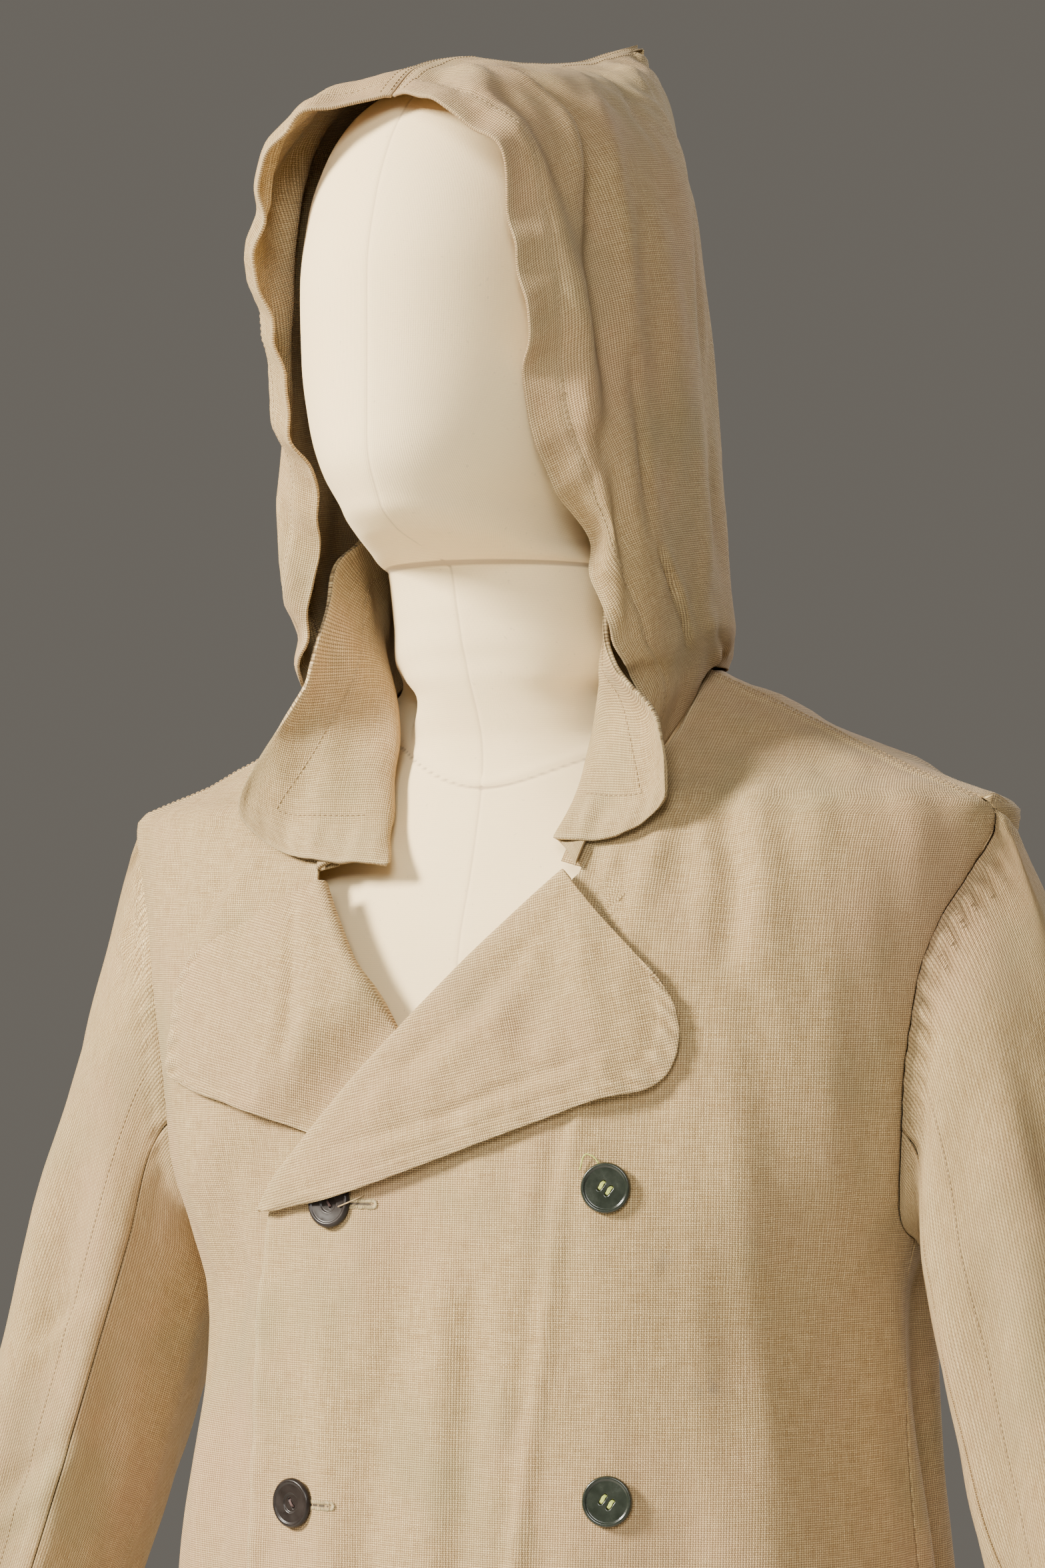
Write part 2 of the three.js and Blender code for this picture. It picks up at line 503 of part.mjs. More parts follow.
function collarColumn(place, sign) {
  const table = collarRows[sign > 0 ? "left" : "right"], places = table.map((r) => r[0]);
  const crest = pathCurve(places, table.map((r) => r[1]))(place);
  const edge = pathCurve(places, table.map((r) => r[2]))(place);
  const { p, n, into } = neckFrame(place, sign);
  const foot = add(add(p, n, 0.5), into, cloth + 1.8 + collarThickness);
  const over = unit(add(unit(minus(crest, foot)), unit(minus(edge, crest))));
  const rise = length(minus(crest, foot)), fall = length(minus(edge, crest));
  const bezier = (a, b, c, d, t) => [0, 1, 2].map((k) =>
    (1 - t) ** 3 * a[k] + 3 * (1 - t) ** 2 * t * b[k] + 3 * (1 - t) * t * t * c[k] + t ** 3 * d[k]);
  const up = add(foot, unit(add(unit(minus(crest, foot)), [0, 0, 1])), rise * 0.3), near = add(crest, over, -0.36 * rise);
  const past = add(crest, over, 0.36 * Math.min(fall, 40)), end = mix(edge, crest, 0.35);
  const out = [0, 0.3, 0.58, 0.82].map((t) => bezier(foot, up, near, crest, t));
  [0, 0.12, 0.26, 0.42, 0.6, 0.8, 1].forEach((t) => out.push(bezier(crest, past, end, edge, t)));
  return out;
}
const collarPlaces = [-1, -0.94, -0.88, -0.82, -0.76, -0.7, -0.63, -0.55, -0.44, -0.3, -0.15, 0,
  0.15, 0.3, 0.44, 0.55, 0.63, 0.7, 0.76, 0.82, 0.88, 0.94, 1];
const collarGrid = collarPlaces.map((q) => collarColumn(Math.abs(q), q < 0 ? -1 : 1));
const collarOut = gridNormals(collarGrid, (p, i, j) => {
  const q = Math.abs(collarPlaces[i]);
  if (j < 5 || q < 0.6) return [-p[0], -p[1] - 20, 10];
  return [0.2 * Math.sign(p[0]), -1, 0.1];
});
piece("collar", sheet(collarGrid, collarOut.map((r) => r.map((n) => n.map((v) => -v))), collarThickness), linen);

// Buttons: two columns, all lying on the left front. The left column of the coat is sewn to it,
// the other comes up through its buttonholes.
const buttonColumns = [
  ["left", [[91, 1299], [93, 1151], [95, 1003], [97, 855]]],
  ["right", [[-57, 1289], [-77, 1142], [-79, 995], [-80, 848]]],
];
function heightAbove(rows, origin, normal) {
  let best = -1e9;
  const test = (a, b, c) => {
    const n = cross(minus(b, a), minus(c, a)), down = dot(normal, n);
    if (Math.abs(down) < 1e-9) return;
    const k = dot(minus(a, origin), n) / down, hit = add(origin, normal, k);
    const inside = [[a, b], [b, c], [c, a]].map(([s, e]) => dot(cross(minus(e, s), minus(hit, s)), n) >= -1e-9);
    if (inside.every((v) => v) && Math.abs(k) < 40) best = Math.max(best, k);
  };
  for (let i = 0; i < rows.length - 1; i++)
    for (let j = 0; j < rows[0].length - 1; j++) {
      test(rows[i][j], rows[i][j + 1], rows[i + 1][j + 1]);
      test(rows[i][j], rows[i + 1][j + 1], rows[i + 1][j]);
    }
  return best;
}
const buttonProfile = [[0, 0], [11.2, 0], [buttonRadius, 0.8], [buttonRadius, 2.1], [11.3, buttonThickness],
  [9.5, buttonThickness], [8.7, 2.3], [0, 2.2]].map(([r, h]) => new THREE.Vector2(r, h));
for (const [column, places] of buttonColumns)
  places.forEach(([x, z], i) => {
    const angle = angleAtX(z, x), centre = body(angle, z), n = bodyNormal(angle, z);
    const side = unit(cross([0, 0, 1], n)), up = cross(n, side);
    let top = heightAbove(leftRows, centre, n);
    for (let k = 0; k < 12; k++) {
      const a = k * 30 * degree;
      const q = add(add(centre, side, buttonRadius * Math.cos(a)), up, buttonRadius * Math.sin(a));
      top = Math.max(top, heightAbove(leftRows, q, n));
    }
    const m = piece("button_" + column + "_" + (i + 1), new THREE.LatheGeometry(buttonProfile, 18), horn);
    m.position.set(...add(centre, n, top + 0.3));
    m.quaternion.setFromUnitVectors(new THREE.Vector3(0, 1, 0), new THREE.Vector3(...n));
  });

// The dress form: head, neck and body in one, in level sections like the coat's.
const formSections = [
  [830, 146, 92, 96, 2, 2.2],
  [900, 158, 102, 104, 2, 2.2],
  [1000, 158, 102, 106, 1, 2.2],
  [1100, 154, 98, 108, 0, 2.2],
  [1200, 158, 102, 112, 0, 2.2],
  [1290, 172, 106, 116, 0, 2.2],
  [1360, 184, 106, 118, 0, 2.2],
  [1410, 196, 100, 118, 2, 2.2],
  [1445, 205, 88, 110, 5, 2.2],
  [1472, 208, 74, 96, 10, 2.1],
  [1488, 202, 66, 86, 12, 2],
  [1500, 189, 62, 80, 13, 2],
  [1510, 177.8, 56, 74, 14, 2],
  [1520, 156, 50, 70, 14.5, 2],
  [1530, 133, 45, 66, 14, 2],
  [1540, 102, 37, 62, 11, 2],
  [1550, 79, 55, 60, -2, 2],
  [1560, 71, 66, 64, -18, 2],
  [1578, 63, 62, 62, -35, 2],
  [1600, 60, 60, 62, -46, 2],
  [1608, 58, 82, 68, -52, 2],
  [1615, 55, 104, 76, -56, 2],
  [1625, 56, 115, 84, -61, 2],
  [1642, 63, 115, 93, -71, 2],
  [1668, 71, 108, 100, -81, 2],
  [1700, 76, 105, 103, -84, 2],
  [1738, 77, 104, 103, -85, 2],
  [1772, 75, 96, 98, -85, 2],
  [1800, 68, 83, 87, -85, 2],
  [1820, 58, 67, 72, -85, 2],
  [1834, 43, 48, 52, -85, 2],
  [1842, 25, 28, 30, -85, 2],
];
// The front of the neck stands forward of the shoulders and runs smoothly down into the chest.
const neckForward = tableCurve([[1400, 0], [1445, 5], [1472, 16], [1488, 22], [1500, 25], [1510, 31.5], [1520, 39.5],
  [1530, 48], [1540, 58], [1550, 32], [1560, 9], [1578, 2], [1600, 0]], 1);
const neckSwell = (t, z) => neckForward(z) * Math.exp(-((Math.abs(around(t / degree)) / 46) ** 3));
const formPoints = [], formFaces = [], formCount = 32;
for (const [z, a, front, back, yc, n] of formSections)
  for (let k = 0; k < formCount; k++) {
    const t = (k / formCount) * 2 * Math.PI, s = Math.sin(t), c = Math.cos(t);
    const r = 1 / (Math.abs(s / a) ** n + Math.abs(c / (c > 0 ? front : back)) ** n) ** (1 / n)
      + neckSwell(t, z);
    formPoints.push([r * s, yc - r * c, z]);
  }
const formRings = formSections.length;
for (let i = 0; i < formRings - 1; i++)
  for (let k = 0; k < formCount; k++) {
    const a = i * formCount + k, b = i * formCount + ((k + 1) % formCount);
    formFaces.push([a, b, b + formCount], [a, b + formCount, a + formCount]);
  }
formPoints.push([0, 2, formBottom], [0, -85, 1845]);
for (let k = 0; k < formCount; k++) {
  const next = (k + 1) % formCount, top = (formRings - 1) * formCount;
  formFaces.push([formRings * formCount, next, k], [formRings * formCount + 1, top + k, top + next]);
}
piece("dress_form", solid(formPoints, formFaces), canvas);

// The stand: a pole under the form and a round base
const upright = (points, segments) => {
  const g = new THREE.LatheGeometry(points.map(([r, h]) => new THREE.Vector2(r, h)), segments);
  g.rotateX(Math.PI / 2);
  return g;
};
piece("stand_pole", upright([[0, baseThickness + 0.3], [poleRadius, baseThickness + 0.3],
  [poleRadius, formBottom - 0.3], [0, formBottom - 0.3]], 24), metal);
piece("stand_base", upright([[0, 0], [baseRadius - 3, 0], [baseRadius, 3], [baseRadius, baseThickness - 4],
  [baseRadius - 6, baseThickness], [0, baseThickness]], 40), metal);

export default coat;
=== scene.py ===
import math

import bpy
import numpy as np
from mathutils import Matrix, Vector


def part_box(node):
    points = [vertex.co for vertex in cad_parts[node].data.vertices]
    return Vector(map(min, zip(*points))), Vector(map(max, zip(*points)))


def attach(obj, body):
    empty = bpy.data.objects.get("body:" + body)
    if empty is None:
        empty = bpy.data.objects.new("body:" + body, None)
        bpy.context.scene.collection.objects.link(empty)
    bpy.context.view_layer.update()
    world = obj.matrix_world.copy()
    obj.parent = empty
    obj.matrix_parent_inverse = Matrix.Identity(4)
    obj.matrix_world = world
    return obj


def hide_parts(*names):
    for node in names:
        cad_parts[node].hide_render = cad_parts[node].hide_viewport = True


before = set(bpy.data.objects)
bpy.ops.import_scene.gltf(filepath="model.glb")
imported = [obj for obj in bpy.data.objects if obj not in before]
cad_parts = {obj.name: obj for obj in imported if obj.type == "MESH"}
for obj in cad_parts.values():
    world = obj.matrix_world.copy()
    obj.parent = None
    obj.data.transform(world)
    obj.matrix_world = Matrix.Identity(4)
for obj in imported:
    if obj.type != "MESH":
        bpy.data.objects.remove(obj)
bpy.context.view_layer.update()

# The camera
# It stands about 2.3 m from the coat, 28 degrees round to the wearer's left and at chest height,
# and looks a little upwards, so that the hood is whole and the sleeves leave the picture.
lens = bpy.data.cameras.new("camera")
lens.lens = 103.54
lens.sensor_width = 36
camera = bpy.data.objects.new("camera", lens)
camera.location = (1.0670, -2.0376, 1.390)
camera.rotation_euler = (math.radians(92.7), 0, math.radians(28))
bpy.context.scene.collection.objects.link(camera)
bpy.context.scene.camera = camera

# The dress form
# A padded form, head, neck and body in one, covered in fine cream canvas. The cover is sewn down the
# middle of the face and chest, and joined in a ring under the chin and another at the foot of the neck.
# Height, half width, depth in front, depth behind, centre in y, and squareness (2 is an ellipse), in mm.
form_sections = [
    (830, 146, 92, 96, 2, 2.2),
    (900, 158, 102, 104, 2, 2.2),
    (1000, 158, 102, 106, 1, 2.2),
    (1100, 154, 98, 108, 0, 2.2),
    (1200, 158, 102, 112, 0, 2.2),
    (1290, 172, 106, 116, 0, 2.2),
    (1360, 184, 106, 118, 0, 2.2),
    (1410, 196, 100, 118, 2, 2.2),
    (1445, 205, 88, 110, 5, 2.2),
    (1472, 208, 74, 96, 10, 2.1),
    (1488, 202, 66, 86, 12, 2),
    (1500, 189, 62, 80, 13, 2),
    (1510, 177.8, 56, 74, 14, 2),
    (1520, 156, 50, 70, 14.5, 2),
    (1530, 133, 45, 66, 14, 2),
    (1540, 102, 37, 62, 11, 2),
    (1550, 79, 55, 60, -2, 2),
    (1560, 71, 66, 64, -18, 2),
    (1578, 63, 62, 62, -35, 2),
    (1600, 60, 60, 62, -46, 2),
    (1608, 58, 82, 68, -52, 2),
    (1615, 55, 104, 76, -56, 2),
    (1625, 56, 115, 84, -61, 2),
    (1642, 63, 115, 93, -71, 2),
    (1668, 71, 108, 100, -81, 2),
    (1700, 76, 105, 103, -84, 2),
    (1738, 77, 104, 103, -85, 2),
    (1772, 75, 96, 98, -85, 2),
    (1800, 68, 83, 87, -85, 2),
    (1820, 58, 67, 72, -85, 2),
    (1834, 43, 48, 52, -85, 2),
    (1842, 25, 28, 30, -85, 2),
]


def curve(places, values):
    """A smooth curve through a table, which never overshoots its points."""
    x = np.asarray(places, float)
    y = np.asarray(values, float)
    extra = (1,) * (y.ndim - 1)
    step = np.diff(x)
    rise = np.diff(y, axis=0) / step.reshape((-1,) + extra)
    both = rise[:-1] * rise[1:]
    total = np.where(both > 0, rise[:-1] + rise[1:], 1)
    middle = np.where(both > 0, 2 * both / total, 0)
    slope = np.concatenate([rise[:1], middle, rise[-1:]])

    def at(q):
        q = np.clip(np.asarray(q, float), x[0], x[-1])
        i = np.clip(np.searchsorted(x, q, side="right") - 1, 0, len(x) - 2)
        h = step[i].reshape(q.shape + extra)
        t = ((q - x[i])).reshape(q.shape + extra) / h
        a = 2 * t**3 - 3 * t**2 + 1
        b = t**3 - 2 * t**2 + t
        c = t**3 - t**2
        return a * y[i] + b * h * slope[i] + (1 - a) * y[i + 1] + c * h * slope[i + 1]

    return at


def unit(a):
    return a / np.maximum(np.linalg.norm(a, axis=-1, keepdims=True), 1e-9)


def ease(x, a, b):
    t = np.clip((x - a) / (b - a), 0, 1)
    return t * t * (3 - 2 * t)


def table_curve(rows, column):
    """The curve through one column of a table, or through a slice of them, over its first column."""
    return curve([r[0] for r in rows], [r[column] for r in rows])


def bell(x, centre, width):
    """A soft hump, 1 at its centre and 0 well away from it."""
    return np.exp(-(((x - centre) / width) ** 2))


def section_radius(angle, half, front, back, square):
    s = np.sin(np.radians(angle))
    c = np.cos(np.radians(angle))
    depth = np.where(c > 0, front, back)
    return (np.abs(s / half) ** square + np.abs(c / depth) ** square) ** (-1 / square)


def turned(angle):
    """An angle brought to between -180 and 180 degrees."""
    return (angle + 540) % 360 - 180


form_column = [table_curve(form_sections, c) for c in range(1, 6)]


# The front of the neck stands forward of the shoulders and runs smoothly down into the chest.
neck_forward = curve([1400, 1445, 1472, 1488, 1500, 1510, 1520, 1530, 1540, 1550, 1560, 1578, 1600],
                     [0, 5, 16, 22, 25, 31.5, 39.5, 48, 58, 32, 9, 2, 0])


def form_surface(angle, z):
    half, front, back, middle, square = (f(z) for f in form_column)
    swell = neck_forward(z) * np.exp(-((np.abs(turned(angle)) / 46) ** 3))
    r = section_radius(angle, half, front, back, square) + swell
    across = r * np.sin(np.radians(angle))
    return np.stack([across, middle - r * np.cos(np.radians(angle)), z + 0 * r], -1)


def add_mesh(name, vertices_mm, faces, marks=None):
    """A smooth mesh in the scene, from points in millimetres. marks is written to each point."""
    mesh = bpy.data.meshes.new(name)
    mesh.from_pydata((np.asarray(vertices_mm) / 1000).tolist(), [], faces)
    mesh.update()
    mesh.polygons.foreach_set("use_smooth", [True] * len(mesh.polygons))
    if marks is not None:
        layer = mesh.attributes.new("weave", "FLOAT_VECTOR", "POINT")
        layer.data.foreach_set("vector", np.asarray(marks, np.float32).ravel())
    piece = bpy.data.objects.new(name, mesh)
    bpy.context.scene.collection.objects.link(piece)
    return piece


form_angles = np.concatenate([
    [0, 0.5, 1.1, 2],
    np.linspace(4, 176, 52),
    [178.5, 180, 181.5],
    np.linspace(184, 356, 52),
    [358, 358.9, 359.5],
])
form_heights = np.concatenate([
    np.linspace(830, 1470, 54),
    np.linspace(1474, 1490, 8),
    np.linspace(1491, 1521, 44),
    np.linspace(1524, 1589, 28),
    np.linspace(1590, 1615, 34),
    np.linspace(1617, 1842, 90),
])
grid_angle, grid_z = np.meshgrid(form_angles, form_heights)
form_points = form_surface(grid_angle, grid_z)
out = unit(np.stack([np.sin(np.radians(grid_angle)), -np.cos(np.radians(grid_angle)), 0 * grid_z], -1))
# Seams of the cover: the middle of the face and chest, the chin ring and the ring round the neck's foot.
front_line = np.where(np.cos(np.radians(grid_angle)) > 0, np.abs(form_points[..., 0]), 99)
neck_ring = 1493.5 + 24 * (1 - np.exp(-((turned(grid_angle) / 34) ** 2))) - 3 * np.sin(np.radians(grid_angle))
seams = -0.34 * bell(front_line, 0, 0.9)
seams -= 0.9 * bell(grid_z, 1602.5, 1.2)
seams += 0.6 * bell(grid_z, 1605.5, 2.2)
seams -= 0.6 * np.exp(-(((grid_z - neck_ring) / 1.0) ** 2))
seams += 0.35 * bell(grid_z - neck_ring, 3, 2.5)
form_points = form_points + out * seams[..., None]
around = len(form_angles)
rows = len(form_heights)
form_list = np.concatenate([form_points.reshape(-1, 3), [[0, 2, 830], [0, -85, 1845]]])


def ring_faces(rows, sides):
    """Faces between rings of points, closed below and above by the two points that follow the rings."""
    faces = []
    for i in range(rows - 1):
        for j in range(sides):
            k = (j + 1) % sides
            faces.append((i * sides + j, i * sides + k, (i + 1) * sides + k, (i + 1) * sides + j))
    last = (rows - 1) * sides
    for j in range(sides):
        k = (j + 1) % sides
        faces.append((rows * sides, k, j))
        faces.append((rows * sides + 1, last + j, last + k))
    return faces


form_arc = np.radians(turned(grid_angle)) * form_column[0](grid_z)
form_marks = np.stack([form_arc, grid_z, seams], -1).reshape(-1, 3)
form_marks = np.concatenate([form_marks, [[0, 830, 0], [0, 1845, 0]]])
form_body = add_mesh("form_body", form_list, ring_faces(rows, around), form_marks)


def new_material(name):
    """A material with its shader, and two short ways to add a node: any kind, and arithmetic."""
    material = bpy.data.materials.new(name)
    material.use_nodes = True
    tree = material.node_tree
    shader = tree.nodes["Principled BSDF"]

    def add(kind, *inputs, output=0, **settings):
        made = tree.nodes.new(kind)
        for key, value in settings.items():
            setattr(made, key, value)
        for i, value in enumerate(inputs):
            if value is None:
                continue
            if isinstance(value, bpy.types.NodeSocket):
                tree.links.new(value, made.inputs[i])
            else:
                made.inputs[i].default_value = value
        return made.outputs[output]

    def sum_of(operation, *inputs):
        return add("ShaderNodeMath", *inputs, operation=operation)

    def link(value, socket):
        tree.links.new(value, shader.inputs[socket])

    return material, shader, add, sum_of, link


def blend(add, factor, one, other):
    """A colour that goes from one to the other."""
    return add("ShaderNodeMix", factor, None, None, None, None, None, one, other, output=2, data_type="RGBA")


def weave_height(add, sum_of, across, down, warp_pitch, weft_pitch, wander):
    """Threads going over and under each other: their height, and which of the two lies on top."""
    slow_a = add("ShaderNodeCombineXYZ", sum_of("MULTIPLY", across, 0.15), sum_of("MULTIPLY", down, 0.03),
                 1.0)
    slow_b = add("ShaderNodeCombineXYZ", sum_of("MULTIPLY", across, 0.03), sum_of("MULTIPLY", down, 0.15),
                 5.0)
    drift_a = add("ShaderNodeTexNoise", slow_a, None, 1.0, 2.0, noise_dimensions="3D")
    drift_b = add("ShaderNodeTexNoise", slow_b, None, 1.0, 2.0, noise_dimensions="3D")
    warp_at = sum_of("MULTIPLY_ADD", sum_of("SUBTRACT", drift_a, 0.5), wander, across)
    weft_at = sum_of("MULTIPLY_ADD", sum_of("SUBTRACT", drift_b, 0.5), wander, down)
    warp = sum_of("SINE", sum_of("MULTIPLY", warp_at, math.pi / warp_pitch))
    weft = sum_of("SINE", sum_of("MULTIPLY", weft_at, math.pi / weft_pitch))
    over = sum_of("MULTIPLY", warp, weft)
    warp_top = sum_of("MULTIPLY", sum_of("ABSOLUTE", warp), sum_of("MULTIPLY_ADD", over, 0.5, 0.5))
    weft_top = sum_of("MULTIPLY", sum_of("ABSOLUTE", weft), sum_of("MULTIPLY_ADD", over, -0.5, 0.5))
    return sum_of("MAXIMUM", warp_top, weft_top), sum_of("GREATER_THAN", weft_top, warp_top)


canvas, shader, add, sum_of, link = new_material("form_canvas_cream")
marks = add("ShaderNodeAttribute", output=1, attribute_name="weave")
split = add("ShaderNodeSeparateXYZ", marks).node
thread_height, _ = weave_height(add, sum_of, split.outputs[0], split.outputs[1], 0.62, 0.5, 0.5)
place = add("ShaderNodeTexCoord", output=3)
cloudy = add("ShaderNodeTexNoise", place, None, 14.0, 3.0)
flecks = add("ShaderNodeTexNoise", place, None, 420.0, 2.0)
fleck_mask = add("ShaderNodeMapRange", flecks, 0.70, 0.76, 0.0, 0.35)
cream = blend(add, cloudy, (0.90, 0.685, 0.37, 1), (0.93, 0.745, 0.44, 1))
dark_gap = add("ShaderNodeMapRange", thread_height, 0.0, 0.7, 0.80, 1.0)
woven = add("ShaderNodeVectorMath", cream, None, None, dark_gap, operation="SCALE")
flecked = blend(add, fleck_mask, woven, (0.50, 0.38, 0.24, 1))
# The sunken seam lines are darkened in step with their depth: painted shade in the grooves.
groove_shade_mask = add("ShaderNodeMapRange", split.outputs[2], -0.5, -0.12, 0.75, 0.0)
seam_groove_shaded = blend(add, groove_shade_mask, flecked, (0.34, 0.25, 0.16, 1))
link(seam_groove_shaded, "Base Color")
raised = add("ShaderNodeBump")
tree = canvas.node_tree
raised.node.inputs["Strength"].default_value = 0.5
raised.node.inputs["Distance"].default_value = 0.00025
tree.links.new(thread_height, raised.node.inputs["Height"])
link(raised, "Normal")
shader.inputs["Roughness"].default_value = 0.88
shader.inputs["Sheen Weight"].default_value = 0.04
form_body.data.materials.append(canvas)
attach(form_body, "root")
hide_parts("dress_form")

# The stand
# A steel tube goes up into the form from a round turned base. Both are painted in dark satin.
base_profile = [(0, 0), (184, 0), (187.5, 0.8), (189.6, 2.6), (190, 4.5), (190, 7.5), (189.2, 9.4),
                (187.3, 11), (184, 12), (150, 12), (60, 12), (20, 12), (0, 12)]
pole_profile = [(0, 12.3), (13.2, 12.3), (14, 13.1), (14, 200), (14, 500), (14, 829), (13.4, 829.7),
                (0, 829.7)]


def turned_part(name, profile, sides):
    """A round part from its profile: radius and height of each ring, starting and ending on the axis."""
    ring = profile[1:-1]
    angle = np.linspace(0, 2 * math.pi, sides, endpoint=False)
    points = [(r * math.cos(a), r * math.sin(a), h) for r, h in ring for a in angle]
    points += [(0, 0, profile[0][1]), (0, 0, profile[-1][1])]
    return add_mesh(name, points, ring_faces(len(ring), sides))


def two_tone(name, noise, dark, light, rough, more=None):
    """A material that wanders between two colours, and between two roughnesses where rough is a pair."""
    made, shader, add, _, link = new_material(name)
    wander = add("ShaderNodeTexNoise", add("ShaderNodeTexCoord", output=3), None, *noise)
    link(blend(add, wander, (*dark, 1), (*light, 1)), "Base Color")
    if isinstance(rough, tuple):
        link(add("ShaderNodeMapRange", wander, 0.3, 0.7, *rough), "Roughness")
    else:
        shader.inputs["Roughness"].default_value = rough
    for socket, value in (more or {}).items():
        shader.inputs[socket].default_value = value
    return made


paint = two_tone("stand_dark_paint", (60.0, 4.0), (0.022, 0.022, 0.024), (0.04, 0.04, 0.043), (0.36, 0.52),
                 {"Metallic": 0.35})
for part_name, node, profile, sides in (("stand_base_plate", "stand_base", base_profile, 96),
                                        ("stand_tube", "stand_pole", pole_profile, 48)):
    part = turned_part(part_name, profile, sides)
    part.data.materials.append(paint)
    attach(part, "root")
    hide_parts(node)

# The two fronts and the back
# Coarse undyed linen, cut as two fronts and a back and sewn at the sides and shoulders. The left front
# laps over the right one, and both fold back at the roll line into lapels.
# Level sections of the body: height, half width, depth in front, depth behind, centre in y, squareness.
body_sections = [
    (400, 272, 190, 204, 8, 2.2),
    (600, 250, 172, 186, 8, 2.2),
    (800, 230, 156, 170, 8, 2.25),
    (950, 215, 147, 158, 6, 2.3),
    (1100, 199, 136, 144, 4, 2.35),
    (1200, 191, 130, 138, 2, 2.4),
    (1240, 192, 129, 138, 2, 2.4),
    (1272, 199, 128, 138, 2, 2.4),
    (1300, 208, 127, 138, 2, 2.35),
    (1340, 214, 125, 137, 2, 2.3),
    (1398, 224, 121, 136, 4, 2.3),
    (1426, 230, 116, 132, 6, 2.3),
    (1451, 237, 110, 124, 8, 2.2),
    (1482, 247, 98, 108, 12, 2.1),
    (1500, 208, 84, 96, 14, 2),
    (1520, 164, 66, 82, 15, 2),
    (1540, 121, 46, 70, 15, 2),
    (1555, 88, 30, 62, 15, 2),
]
# Broad folds of the body: angle, angular half width, height, half height, depth.
broad_folds = [
    (68, 13, 1225, 62, -11), (-68, 13, 1225, 62, -11),
    (112, 14, 1150, 150, 8), (-112, 14, 1150, 150, 8),
    (150, 16, 1130, 190, -5), (-150, 16, 1130, 190, -5),
    (-16, 9, 1185, 120, 1.6), (22, 8, 1120, 150, 1.5), (48, 9, 1380, 70, -3),
]
# Flares of the skirt: angle, angular half width, depth at the hem.
skirt_flares = [
    (-160, 13, 13), (-128, 14, -9), (-98, 13, 15), (-66, 13, -8), (-42, 11, 9), (-12, 12, -5), (14, 13, 6),
    (40, 12, -7), (66, 13, 13), (96, 14, -8), (124, 13, 14), (153, 12, -9), (176, 11, 10),
]
# Where each front ends: height and x, up the front edge, the roll line and the neck seam.
left_front_edge = [
    (400, -112), (1108, -107), (1204, -106), (1243, -105), (1282, -99), (1309, -77), (1337, -50),
    (1364, -24), (1387, 1), (1409, 24), (1432, 48), (1449, 66), (1467, 71), (1485, 80), (1510, 88.5),
    (1535, 91), (1555, 86),
]
right_front_edge = [
    (400, 112), (1108, 107), (1204, 106), (1246, 101), (1272, 80), (1305, 40), (1335, 5), (1364, -24),
    (1383, -37), (1402, -52), (1425, -66), (1447, -80), (1467, -84), (1485, -87), (1510, -90),
    (1535, -91), (1555, -86),
]
# The armhole seam: height, y in front, y behind.
armhole = [
    (1272, 2, 2), (1275, -8, 13), (1281, -17, 22), (1290, -24, 31), (1303, -29, 39), (1331, -33, 49),
    (1359, -36, 54), (1398, -35, 55), (1426, -27, 50), (1451, -11, 39), (1470, -2, 22), (1482, -4, -4),
]
